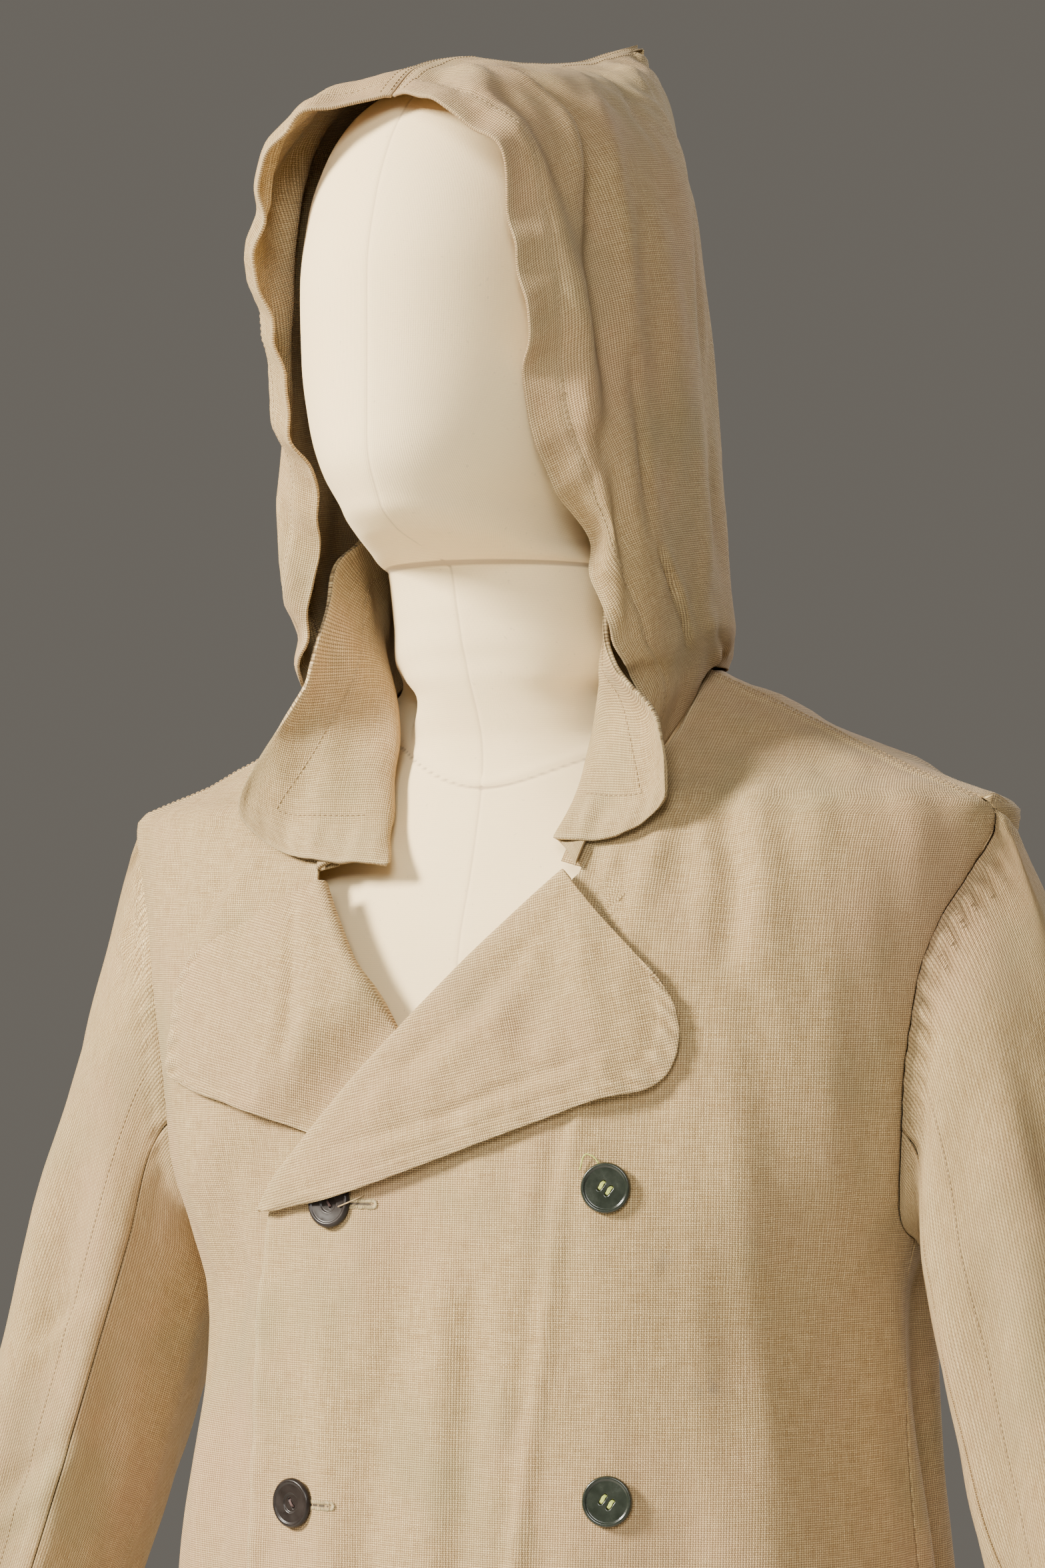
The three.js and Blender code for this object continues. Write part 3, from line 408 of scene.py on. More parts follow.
# Creases in the fronts and back: depth (negative sinks), half width, and the path's points.
body_creases = [
    (-3.0, 8, [(128, -68, 1484), (143, -84, 1449), (144, -93, 1404)]),
    (1.7, 11, [(146, -62, 1485), (155, -83, 1440), (156, -90, 1400)]),
    (1.2, 9, [(122, -77, 1478), (130, -89, 1439), (131, -95, 1405)]),
    (-1.5, 15, [(116, -84, 1465), (122, -92, 1435)]),
    (1.6, 8, [(107, -81, 1475), (97, -99, 1433), (94, -106, 1405)]),
    (-2, 4.5, [(75, -95, 1456), (84, -106, 1420), (86, -110, 1396)]),
    (2.2, 4.5, [(80, -95, 1456), (88, -105, 1420), (91, -109, 1396)]),
    (-2, 4.5, [(86, -95, 1453), (93, -104, 1420)]),
    (2.0, 3, [(79, -118, 1345), (75, -118, 1325), (68, -121, 1287), (61, -124, 1223), (55, -127, 1173),
              (50, -130, 1124), (49, -140, 1000), (48, -165, 700), (48, -185, 402)]),
    (-1.3, 4, [(66, -118, 1325), (59, -121, 1287), (52, -124, 1223), (46, -127, 1173), (41, -130, 1124),
               (40, -140, 1000), (39, -165, 700), (39, -185, 402)]),
    (-2.4, 13, [(-17, -126, 1275), (-19, -128, 1224), (-30, -129, 1185), (-33, -131, 1100),
                (-36, -140, 1000)]),
    (2.2, 13, [(4, -127, 1245), (3, -128, 1189), (1, -131, 1105), (-2, -140, 980)]),
    (-1.7, 9, [(22, -127, 1250), (21, -129, 1181), (18, -131, 1110), (14, -140, 990)]),
    (1.5, 10, [(-62, -124, 1262), (-60, -126, 1190), (-63, -130, 1080)]),
    (-1.6, 16, [(112, -110, 1290), (120, -112, 1200), (124, -118, 1080), (128, -132, 900)]),
    (2.2, 18, [(150, -88, 1330), (158, -80, 1220), (160, -86, 1080), (166, -100, 880)]),
    (-2.5, 9, [(-128, -104, 1325), (-130, -97, 1288), (-134, -94, 1214), (-133, -98, 1100),
               (-132, -108, 950)]),
    (2.0, 10, [(-152, -92, 1321), (-155, -82, 1250), (-156, -82, 1152), (-160, -90, 980)]),
    (-1.6, 8, [(-140, -84, 1453), (-152, -84, 1437), (-162, -84, 1422)]),
    (1.6, 7, [(-126, -87, 1456), (-136, -90, 1440), (-146, -91, 1422)]),
    (-3.5, 12, [(150, -70, 905), (176, -60, 760), (196, -62, 560), (210, -66, 420)]),
    (3.0, 13, [(118, -128, 880), (128, -138, 700), (140, -150, 420)]),
    (-3.0, 12, [(-76, -150, 900), (-84, -160, 700), (-92, -176, 420)]),
    (2.6, 12, [(-20, -150, 880), (-24, -165, 660), (-30, -186, 420)]),
    (-2.2, 11, [(10, -152, 860), (10, -168, 640), (12, -190, 420)]),
    (3.0, 14, [(-176, -58, 900), (-192, -60, 700), (-214, -66, 420)]),
    (3.0, 15, [(60, 126, 1440), (66, 138, 1340), (62, 142, 1180), (70, 160, 900), (80, 186, 500)]),
    (-3.0, 14, [(100, 100, 1430), (104, 120, 1330), (100, 124, 1180), (112, 140, 900), (126, 160, 480)]),
    (3.0, 15, [(-58, 126, 1440), (-62, 138, 1330), (-60, 142, 1160), (-74, 158, 880), (-88, 184, 500)]),
    (-2.6, 14, [(-98, 100, 1425), (-100, 122, 1320), (-102, 124, 1160), (-116, 138, 880), (-130, 156, 480)]),
    (-2.4, 16, [(4, 138, 1400), (0, 142, 1280), (4, 146, 1120), (0, 168, 800), (-6, 200, 480)]),
    (2.2, 12, [(150, 90, 1180), (158, 92, 1000), (172, 104, 760), (190, 116, 480)]),
    (2.8, 11, [(186, -10, 1285), (188, 0, 1220), (199, 13, 1137), (208, 22, 1040), (216, 28, 900)]),
    (-5.0, 15, [(184, 24, 1285), (189, 32, 1220), (198, 44, 1137), (206, 52, 1040), (212, 58, 900)]),
    (-2.0, 9, [(150, 66, 1445), (166, 72, 1405), (178, 70, 1360)]),
    (-2.0, 9, [(-148, 66, 1445), (-164, 72, 1400), (-178, 70, 1352)]),
]
cloth = 1.6
seam_gap = 0.35
hem = 400
underarm = 1272
shoulder_point = 1482
neck_height = 1555
shoulder_seam = 86

body_column = [table_curve(body_sections, c) for c in range(1, 6)]
arm_front_y = table_curve(armhole, 1)
arm_back_y = table_curve(armhole, 2)
cut_heights = [hem, 480, 570, 660, 750, 840, 930, 1010, 1080, 1140, 1190, 1225, 1250, underarm, 1284, 1302,
               1325, 1350, 1380, 1410, 1432, 1449, 1466, shoulder_point, 1495, 1510, 1525, 1540, neck_height]
left_curve = curve(*zip(*left_front_edge))
right_curve = curve(*zip(*right_front_edge))


def left_edge_x(z):
    return np.interp(z, cut_heights, left_curve(cut_heights))


def right_edge_x(z):
    return np.interp(z, cut_heights, right_curve(cut_heights))


def body(angle, z):
    """A point of the coat's body. Angle 0 is the centre front and 90 the wearer's left side."""
    angle = np.asarray(angle, float)
    z = np.asarray(z, float)
    half, front, back, middle, square = (f(z) for f in body_column)
    r = section_radius(angle, half, front, back, square)
    for a, width, height, tall, depth in broad_folds:
        r = r + depth * np.exp(-((turned(angle - a) / width) ** 2) - ((z - height) / tall) ** 2)
    grow = ease(z, 1180, 430)
    for a, width, depth in skirt_flares:
        r = r + grow * depth * np.exp(-((turned(angle - a) / width) ** 2))
    s = np.sin(np.radians(angle))
    c = np.cos(np.radians(angle))
    return np.stack([r * s, middle - r * c, z + 0 * r], -1)


def body_normal(angle, z):
    across = body(angle + 0.6, z) - body(angle - 0.6, z)
    up = body(angle, np.minimum(z + 1.5, neck_height)) - body(angle, z - 1.5)
    n = unit(np.cross(across, up))
    a = np.radians(angle)
    outward = n[..., 0] * np.sin(a) - n[..., 1] * np.cos(a)
    return np.where(outward[..., None] < 0, -n, n)


def angle_where(z, value, axis, low, high):
    """The angle at which the body at height z has a given x or y."""
    z, value = np.broadcast_arrays(np.asarray(z, float), np.asarray(value, float))
    lo = np.full(z.shape, float(low))
    hi = np.full(z.shape, float(high))
    for _ in range(36):
        middle = (lo + hi) / 2
        less = body(middle, z)[..., axis] < value
        lo = np.where(less, middle, lo)
        hi = np.where(less, hi, middle)
    return (lo + hi) / 2


def angle_at_x(z, x):
    return angle_where(z, x, 0, -88, 88)


def angle_at_y(z, y):
    return angle_where(z, y, 1, 45, 135)


def creased(points, lines):
    """How far the creases raise each point. A crease is fullest in the middle of its path."""
    rise = np.zeros(points.shape[:-1])
    for depth, width, path in lines:
        path = np.array(path, float)
        runs = np.diff(path, axis=0)
        lengths = np.linalg.norm(runs, axis=1)
        start = np.concatenate([[0], np.cumsum(lengths)]) / lengths.sum()
        nearest = np.full(rise.shape, 1e9)
        along = np.zeros(rise.shape)
        for i, run in enumerate(runs):
            t = np.clip(((points - path[i]) @ run) / (run @ run), 0, 1)
            away = np.linalg.norm(points - path[i] - t[..., None] * run, axis=-1)
            along = np.where(away < nearest, start[i] + t * (start[i + 1] - start[i]), along)
            nearest = np.minimum(nearest, away)
        full = 0.3 + 0.7 * np.clip(np.sin(math.pi * along), 0, 1) ** 0.6
        rise += depth * full * bell(nearest, 0, width)
    return rise


def rumpled(points, amount, seed, across, down, waves=28):
    """The slight unevenness of cloth that hangs and has seen long wear, longer down than across."""
    chance = np.random.default_rng(seed)
    total = np.zeros(points.shape[:-1])
    for _ in range(waves):
        turn = chance.uniform(0, 2 * math.pi)
        size = across * chance.uniform(0.5, 1.7)
        wave = 2 * math.pi * np.array([math.cos(turn) / size, math.sin(turn) / size, chance.normal() / down])
        total += np.sin(points @ wave + chance.uniform(0, 2 * math.pi))
    return amount * total / math.sqrt(waves / 2)


def walked(points, axis=0):
    """The distance walked along points, from 0 at the first of them."""
    steps = np.linalg.norm(np.diff(points, axis=axis), axis=-1)
    start = np.zeros_like(np.take(steps, [0], axis=axis))
    return np.concatenate([start, np.cumsum(steps, axis=axis)], axis=axis)


girth_heights = np.linspace(hem, neck_height, 90)
girth_angles = np.arange(-180, 361.0)
girth_rings = body(girth_angles[None, :], girth_heights[:, None])
girth = walked(girth_rings, 1)
girth = girth - girth[:, 180:181]
slope_length = walked(girth_rings[:, 220])


def body_weave(angle, z):
    """Millimetres across and down the uncut cloth at a place on the body."""
    row = np.clip((z - hem) / (neck_height - hem) * 89, 0, 88.999)
    column = np.clip(angle + 180, 0, 539.999)
    i = row.astype(int)
    j = column.astype(int)
    f = row - i
    g = column - j
    low = girth[i, j] * (1 - g) + girth[i, j + 1] * g
    high = girth[i + 1, j] * (1 - g) + girth[i + 1, j + 1] * g
    return low * (1 - f) + high * f, np.interp(z, girth_heights, slope_length)


def facing(grid, outside):
    """Unit normals of a grid of points, all on the side that outside names on the whole."""
    n = unit(np.cross(np.gradient(grid, axis=0), np.gradient(grid, axis=1)))
    return n * (1 if np.sum(n * outside) > 0 else -1)


def cloth_piece(name, outer, outside, across, down, wear_and_crest_light, thickness=cloth, own_side=0):
    """A cut piece of cloth: its outer face, its inner face one thickness in, and a soft rounded edge."""
    turn = np.sum(np.cross(np.gradient(outer, axis=0), np.gradient(outer, axis=1)) * outside, -1)
    marks = np.stack([across + 0 * wear_and_crest_light, down + 0 * wear_and_crest_light, wear_and_crest_light + 0.0 * across], -1)
    if np.sum(turn) < 0:
        outer = outer[:, ::-1]
        outside = outside[:, ::-1]
        marks = marks[:, ::-1]
    m, n = outer.shape[:2]
    inner = outer - facing(outer, outside) * thickness
    if own_side:
        inner[..., 0] = own_side * np.maximum(own_side * inner[..., 0], 0.15)
    away = np.zeros_like(outer)
    away[0] += unit(outer[0] - outer[1])
    away[-1] += unit(outer[-1] - outer[-2])
    away[:, 0] += unit(outer[:, 0] - outer[:, 1])
    away[:, -1] += unit(outer[:, -1] - outer[:, -2])
    away = unit(away) * 0.16 * cloth
    edge = [(i, 0) for i in range(m - 1)] + [(m - 1, j) for j in range(n - 1)]
    edge += [(i, n - 1) for i in range(m - 1, 0, -1)] + [(0, j) for j in range(n - 1, 0, -1)]
    rim = np.array([(outer[i, j] + inner[i, j]) / 2 for i, j in edge])
    rim_marks = np.array([marks[i, j] for i, j in edge])
    border = np.zeros((m, n, 1))
    border[[0, -1]] = 1
    border[:, [0, -1]] = 1
    outer = outer - away * border
    inner = inner - away * border
    points = np.concatenate([outer.reshape(-1, 3), inner.reshape(-1, 3), rim])
    all_marks = np.concatenate([marks.reshape(-1, 3), marks.reshape(-1, 3), rim_marks])
    k = np.arange(m * n).reshape(m, n)
    a, b, c, d = (q.ravel() for q in (k[:-1, :-1], k[1:, :-1], k[1:, 1:], k[:-1, 1:]))
    faces = np.stack([a, b, c, d], 1).tolist()
    faces += (np.stack([a, d, c, b], 1) + m * n).tolist()
    for s in range(len(edge)):
        e = (s + 1) % len(edge)
        first = edge[s][0] * n + edge[s][1]
        second = edge[e][0] * n + edge[e][1]
        low = 2 * m * n
        faces.append((second, first, low + s, low + e))
        faces.append((low + e, low + s, m * n + first, m * n + second))
    return add_mesh(name, points, faces, all_marks)


def fine_ends(count, near):
    """Places from 0 to 1 with a few close together at each end, where the edge is rounded."""
    inside = np.linspace(near * 4, 1 - near * 4, count)
    return np.concatenate([[0, near, near * 2.2], inside, [1 - near * 2.2, 1 - near, 1]])


linen, shader, add, sum_of, link = new_material("coat_linen")
marks = add("ShaderNodeAttribute", output=1, attribute_name="weave")
split = add("ShaderNodeSeparateXYZ", marks).node
across, down, wear_and_crest_light = split.outputs
thread_height, weft_on_top = weave_height(add, sum_of, across, down, 1.30, 1.04, 0.9)
warp_place = add("ShaderNodeCombineXYZ", sum_of("MULTIPLY", across, 0.75), sum_of("MULTIPLY", down, 0.09),
                 2.0)
weft_place = add("ShaderNodeCombineXYZ", sum_of("MULTIPLY", across, 0.08), sum_of("MULTIPLY", down, 0.95),
                 9.0)
warp_tone = add("ShaderNodeTexNoise", warp_place, None, 1.0, 1.0)
weft_tone = add("ShaderNodeTexNoise", weft_place, None, 1.0, 1.0)
tone = add("ShaderNodeMix", weft_on_top, None, warp_tone, weft_tone)
tone = add("ShaderNodeMapRange", tone, 0.3, 0.7, 0.0, 1.0)
thread = blend(add, tone, (0.385, 0.260, 0.110, 1), (0.62, 0.458, 0.226, 1))
place = add("ShaderNodeTexCoord", output=3)
clouds = add("ShaderNodeTexNoise", place, None, 7.0, 4.0, 0.6)
warm = add("ShaderNodeMapRange", clouds, 0.42, 0.62, 0.0, 0.55)
tinted = blend(add, warm, thread, (0.53, 0.335, 0.19, 1))
patches = add("ShaderNodeTexNoise", place, None, 11.0, 4.0, 0.6)
cool = add("ShaderNodeMapRange", patches, 0.50, 0.68, 0.0, 0.55)
mottled = blend(add, cool, tinted, (0.37, 0.31, 0.155, 1))
# Worn edges and seams are lighter; on the lapels the same mark also lightens the raised pucker crests, a
# painted highlight.
lighter = blend(add, sum_of("MULTIPLY", wear_and_crest_light, 0.30), mottled, (0.74, 0.605, 0.335, 1))
stain_noise = add("ShaderNodeTexNoise", place, None, 160.0, 2.0)
spots = 0.0
for centre, radius in (((0.118, -0.116, 1.265), 0.014), ((0.133, -0.110, 1.272), 0.009),
                       ((0.137, -0.100, 1.205), 0.011)):
    offset = add("ShaderNodeVectorMath", place, centre, operation="SUBTRACT")
    far = add("ShaderNodeVectorMath", offset, operation="LENGTH", output=1)
    one = add("ShaderNodeMapRange", far, radius, radius * 0.3, 0.0, 1.0)
    spots = sum_of("MAXIMUM", spots, one)
stain = sum_of("MULTIPLY", spots, add("ShaderNodeMapRange", stain_noise, 0.42, 0.62, 0.0, 0.5))
stained = blend(add, stain, lighter, (0.20, 0.19, 0.16, 1))
gap = add("ShaderNodeMapRange", thread_height, 0.10, 0.78, 0.95, 0.0)
woven = blend(add, gap, stained, (0.105, 0.058, 0.022, 1))
link(woven, "Base Color")
crinkle = add("ShaderNodeTexNoise", place, None, 55.0, 3.0)
slub = sum_of("MULTIPLY_ADD", tone, 0.35, thread_height)
tree = linen.node_tree
soft = tree.nodes.new("ShaderNodeBump")
soft.inputs["Strength"].default_value = 0.55
soft.inputs["Distance"].default_value = 0.0022
tree.links.new(crinkle, soft.inputs["Height"])
fine = tree.nodes.new("ShaderNodeBump")
fine.inputs["Strength"].default_value = 0.75
fine.inputs["Distance"].default_value = 0.00045
tree.links.new(slub, fine.inputs["Height"])
tree.links.new(soft.outputs[0], fine.inputs["Normal"])
link(fine.outputs[0], "Normal")
shader.inputs["Roughness"].default_value = 0.93
shader.inputs["Sheen Weight"].default_value = 0.05
shader.inputs["Sheen Roughness"].default_value = 0.55
shader.inputs["Specular IOR Level"].default_value = 0.25

sewing = two_tone("linen_thread", (900.0, 1.0), (0.22, 0.14, 0.062), (0.40, 0.29, 0.15), 0.8)


def stitched(name, runs, length=2.1, gap=0.9, radius=0.3, material=sewing):
    """Stitches along paths. Each run is the path's points and the cloth's outward direction at each."""
    points, faces = [], []
    for path, outward in runs:
        path = np.asarray(path, float)
        place = walked(path)
        at = np.arange(1.0, place[-1] - 1.0, length + gap)
        for s in at:
            ends = [np.array([np.interp(q, place, path[:, c]) for c in range(3)]) for q in (s, s + length)]
            up = unit(np.array([np.interp(s, place, outward[:, c]) for c in range(3)]))
            add_stitch(points, faces, ends[0], ends[1], up, radius)
    piece = add_mesh(name, points, faces)
    piece.data.materials.append(material)
    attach(piece, "root")
    return piece


def add_stitch(points, faces, start, end, up, radius):
    """One stitch, thickest in its middle and going into the cloth at both ends."""
    side = unit(np.cross(end - start, up))
    first = len(points)
    for t, thick, lift in ((0.0, 0.55, -0.1), (0.3, 1.0, 0.55), (0.7, 1.0, 0.55), (1.0, 0.55, -0.1)):
        centre = start + (end - start) * t + up * lift * radius
        for turn in range(5):
            a = 2 * math.pi * turn / 5
            points.append(centre + (side * math.cos(a) + up * math.sin(a)) * radius * thick)
    for ring in range(3):
        for turn in range(5):
            nxt = (turn + 1) % 5
            low = first + ring * 5
            faces.append((low + turn, low + nxt, low + 5 + nxt, low + 5 + turn))
    faces.append(tuple(first + turn for turn in (4, 3, 2, 1, 0)))
    faces.append(tuple(first + 15 + turn for turn in range(5)))


def trim(z):
    return np.degrees(seam_gap / 2 / body(90, z)[..., 0])


def side_angle(z, armhole_y):
    """The angle of the side seam, the armhole and the shoulder seam, one above another."""
    z = np.asarray(z, float)
    between = (z > underarm) & (z < shoulder_point)
    seam = np.where(z <= underarm, 90.0, float(shoulder_seam))
    return np.where(between, angle_at_y(z, armhole_y(z)), seam), np.where(between, 0, trim(z))


def cover_x(z):
    return np.where(z > 1449, 66, left_edge_x(z))


def underlap(x, z):
    """The right front lies a few millimetres deeper where the left front covers it."""
    return -(4 + 4.6 * ease(z, 1195, 1250)) * ease(x - cover_x(z), -78, -20)


def body_relief(points):
    return 1.9 * creased(points, body_creases) + rumpled(points, 0.65, 11, 46, 240)


heights = np.concatenate([
    [400, 401.2, 403, 410, 424, 427, 429.5, 432, 436],
    np.linspace(446, 1034, 54),
    np.linspace(1042, 1268, 50),
    [1272, 1273.5, 1275, 1278, 1281, 1285],
    np.linspace(1289, 1478, 42),
    [1482],
    np.linspace(1486, 1548, 18),
    [1552, 1554, 1555],
])


def hem_relief(z):
    return 0.8 * ease(z, 432, 427) - 0.5 * bell(z, 430, 1.6)


def front_piece(name, edge_x, side, count):
    """One front: its grid from the front edge to the side seam, with its hem and its pressed edge."""
    z = heights
    start = angle_at_x(z, edge_x(z))
    seam, cut = side_angle(z, arm_front_y)
    end = side * (seam - cut)
    share = fine_ends(count, 0.0035)
    angle = start[:, None] + (end - start)[:, None] * share[None, :]
    tall = z[:, None] + 0 * angle
    base = body(angle, tall)
    normal = body_normal(angle, tall)
    across, down = body_weave(angle, tall)
    from_edge = np.abs(across - across[:, :1])
    from_side = np.abs(across - across[:, -1:])
    relief = body_relief(base) + hem_relief(tall)
    lifted = 1.7 if side > 0 else 0.5
    relief = relief + lifted * ease(from_edge, 14, 3) * ease(tall, 1260, 1230)
    pull = bell(from_edge, 0, 9) * ease(tall, 1270, 1250)
    relief = relief + 0.55 * pull * np.sin(tall / 7.3 + 2 * np.sin(tall / 61))
    felled = ease(from_side, 9.5, 7.5) * ease(tall, 1486, 1496)
    relief = relief + 0.95 * felled
    in_armhole = ease(tall, 1276, 1290) * ease(tall, 1482, 1470)
    relief = relief - 0.5 * bell(from_side, 0, 2.5) * in_armhole
    drawn = 0.5 * bell(from_side, 7, 5) * in_armhole
    relief = relief + drawn * np.sin(tall / 2.1 + 1.5 * np.sin(tall / 17))
    if side < 0:
        relief = relief + underlap(base[..., 0], tall)
    wear_and_crest_light = np.maximum(bell(from_edge, 0, 3), np.exp(-((tall - hem) / 3) ** 2))
    wear_and_crest_light = np.maximum(wear_and_crest_light, 0.7 * bell(from_side, 9, 2.5) * ease(tall, 1478, 1488))
    outer = base + normal * relief[..., None]
    piece = cloth_piece(name, outer, normal, across, down, wear_and_crest_light)
    return piece, outer, normal, from_side


def level_run(outer, normal, z):
    """A sewing line along a piece at one height."""
    i = int(np.argmin(np.abs(heights - z)))
    return outer[i, 2:-2] + normal[i, 2:-2] * 0.15, normal[i, 2:-2]


def line_at(away, distance, outer, normal, rows):
    """The points and outward directions that keep their distance from an edge, one in each row."""
    path, outward = [], []
    for i in rows:
        order = np.argsort(distance[i])
        path.append([np.interp(away, distance[i][order], outer[i][order, c]) for c in range(3)])
        outward.append([np.interp(away, distance[i][order], normal[i][order, c]) for c in range(3)])
    return np.array(path), np.array(outward)


def front_stitches(name, outer, normal, from_side):
    """The sewing of a front: one line round the hem and two along the shoulder seam."""
    runs = [level_run(outer, normal, 429.5)]
    for away in (2.2, 7.0):
        rows = np.where((heights >= 1484) & (heights <= 1553))[0]
        path, outward = line_at(away, from_side, outer, normal, rows)
        runs.append((path + outward * 0.15, outward))
    return stitched(name, runs)


def hang(piece, node):
    piece.data.materials.append(linen)
    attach(piece, "root")
    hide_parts(node)


front_left, left_outer, left_normal, left_side = front_piece("front_left", left_edge_x, 1, 84)
front_right, right_outer, right_normal, right_side = front_piece("front_right", right_edge_x, -1, 100)
sewn_left = front_stitches("stitches_front_left", left_outer, left_normal, left_side)
sewn_right = front_stitches("stitches_front_right", right_outer, right_normal, right_side)
hang(front_left, "left_front")
hang(front_right, "right_front")

seam, cut = side_angle(heights, arm_back_y)
back_start = seam + cut
share = fine_ends(118, 0.0022)
back_angle = back_start[:, None] + (360 - 2 * back_start)[:, None] * share[None, :]
back_z = heights[:, None] + 0 * back_angle
back_base = body(back_angle, back_z)
back_normal = body_normal(back_angle, back_z)
back_across, back_down = body_weave(back_angle, back_z)
back_outer = back_base + back_normal * (body_relief(back_base) + hem_relief(back_z))[..., None]
back_worn = np.exp(-(((back_z - hem) / 3) ** 2))
back_panel = cloth_piece("back_panel", back_outer, back_normal, back_across, back_down, back_worn)
sewn_back = stitched("stitches_back", [level_run(back_outer, back_normal, 429.5)])
hang(back_panel, "back")

# The sleeves
# Each sleeve is cut as a wide top piece and a narrow under piece, joined by a seam in front and one
# behind, and set into the armhole with a little fullness, which puckers along the seam.
# Share of the arm, centre x, y, z, half depth front to back, half width outwards, half width inwards.
sleeve_rings = [
    (0, 254, 16, 1262, 68, 57, 50),
    (0.25, 280, 3, 1168, 63, 54, 49),
    (0.5, 306, -10, 1074, 59, 52, 47),
    (0.75, 331, -25, 978, 55, 49, 45),
    (1, 354, -42, 882, 51, 46, 43),
]
cap_share = 0.34
front_seam_turn = -30
back_seam_turn = 208
# Creases of the left sleeve, and of the right sleeve with x turned round.
left_sleeve_creases = [
    (3.4, 11, [(222, -37, 1300), (230, -43, 1258), (246, -50, 1190), (262, -58, 1105), (282, -66, 1010)]),
    (-3.2, 13, [(240, -41, 1330), (255, -51, 1263), (269, -57, 1196), (288, -66, 1100)]),
    (2.4, 15, [(258, -37, 1345), (274, -47, 1263), (288, -55, 1190), (306, -62, 1090)]),
    (-2.2, 14, [(280, -22, 1370), (296, -34, 1270), (310, -44, 1180)]),
    (2.5, 16, [(300, 12, 1340), (322, 4, 1230), (340, -6, 1130)]),
    (-2.6, 11, [(262, -60, 1120), (300, -62, 1092), (336, -40, 1076)]),
    (2.4, 10, [(270, -62, 1085), (308, -66, 1062), (344, -44, 1050)]),
    (-2.4, 12, [(300, 62, 1180), (330, 40, 1120), (346, 10, 1090)]),
    (3.0, 14, [(262, 70, 1300), (288, 66, 1180), (310, 52, 1060)]),
    (-3.0, 12, [(240, 62, 1330), (262, 64, 1210), (286, 56, 1090)]),
    (-2.2, 11, [(310, -70, 1010), (336, -74, 960), (352, -78, 905)]),
    (2.4, 12, [(340, -60, 1040), (362, -62, 960), (380, -64, 900)]),
]
right_sleeve_creases = [
    (3.8, 12, [(230, -42, 1310), (238, -46, 1255), (250, -52, 1190), (264, -60, 1110), (282, -68, 1020)]),
    (-3.8, 13, [(254, -42, 1330), (264, -50, 1260), (276, -58, 1180), (292, -68, 1095), (306, -74, 1020)]),
    (2.8, 13, [(261, -28, 1370), (284, -40, 1270), (302, -50, 1180), (322, -56, 1080)]),
    (-2.0, 12, [(286, -14, 1360), (306, -26, 1262), (320, -36, 1180)]),
    (-1.9, 5, [(242, -46, 1240), (262, -54, 1224), (280, -56, 1212)]),
    (1.6, 6, [(246, -50, 1226), (266, -56, 1210), (286, -56, 1198)]),
    (-2.0, 6, [(250, -52, 1165), (280, -62, 1140), (308, -56, 1122)]),
    (2.0, 7, [(252, -52, 1150), (284, -64, 1122), (312, -58, 1104)]),
    (-2.6, 4.5, [(252, -8, 1440), (243, -16, 1428), (236, -24, 1420)]),
    (2.0, 4, [(256, -10, 1430), (246, -20, 1416), (239, -28, 1408)]),
    (-2.2, 4.5, [(252, -16, 1416), (243, -25, 1402), (236, -30, 1394)]),
    (2.5, 16, [(300, 12, 1340), (322, 4, 1230), (340, -6, 1130)]),
    (3.0, 14, [(262, 70, 1300), (288, 66, 1180), (310, 52, 1060)]),
    (-3.0, 12, [(240, 62, 1330), (262, 64, 1210), (286, 56, 1090)]),
    (-2.4, 12, [(302, 60, 1160), (330, 38, 1106), (348, 8, 1080)]),
    (2.4, 12, [(340, -60, 1040), (362, -62, 960), (380, -64, 900)]),
    (-2.4, 11, [(318, -72, 1000), (342, -76, 950), (356, -80, 900)]),
]
ring_centre = table_curve(sleeve_rings, slice(1, 4))
ring_size = table_curve(sleeve_rings, slice(4, 7))


def armhole_point(angle):
    """The armhole seam of the left side: -90 is the underarm, 0 the front and 90 the shoulder."""
    front = angle <= 90
    w = np.where(front, (angle + 90) / 180, (270 - angle) / 180)
    z = underarm + (shoulder_point - underarm) * (w - 0.09 * np.sin(2 * math.pi * w))
    turn = angle_at_y(z, np.where(front, arm_front_y(z), arm_back_y(z)))
    return body(turn, z), body_normal(turn, z)


def sleeve_point(angle, t):
    angle, t = np.broadcast_arrays(np.asarray(angle, float), np.asarray(t, float))
    s = np.clip((t - cap_share) / (1 - cap_share), 0, 1)
    size = ring_size(s)
    axis = unit(ring_centre(np.minimum(1, s + 0.02)) - ring_centre(np.maximum(0, s - 0.02)))
    forward = unit(np.array([0, -1, 0]) + axis * axis[..., 1:2])
    lateral = unit(np.cross(axis, forward))
    lateral = np.where(lateral[..., :1] < 0, -lateral, lateral)
    c = np.cos(np.radians(angle))[..., None]
    q = np.sin(np.radians(angle))[..., None]
    wide = np.where(q > 0, size[..., 1:2], size[..., 2:3])
    ring = ring_centre(s) + forward * size[..., :1] * c + lateral * wide * q
    seam, _ = armhole_point(angle)
    chord = ring - seam
    far = np.linalg.norm(chord, axis=-1, keepdims=True)
    k = np.clip(t / cap_share, 0, 1)[..., None]
    push = 46 * c * c + np.where(q > 0, 40, 26) * q * q
    leave = chord * 0.55 + push * np.array([1, 0, 0])
    arrive = axis * far * 0.95
    cap = (2 * k**3 - 3 * k**2 + 1) * seam + (k**3 - 2 * k**2 + k) * leave
    cap = cap + (-2 * k**3 + 3 * k**2) * ring + (k**3 - k**2) * arrive
    return np.where(t[..., None] >= cap_share, ring, cap)


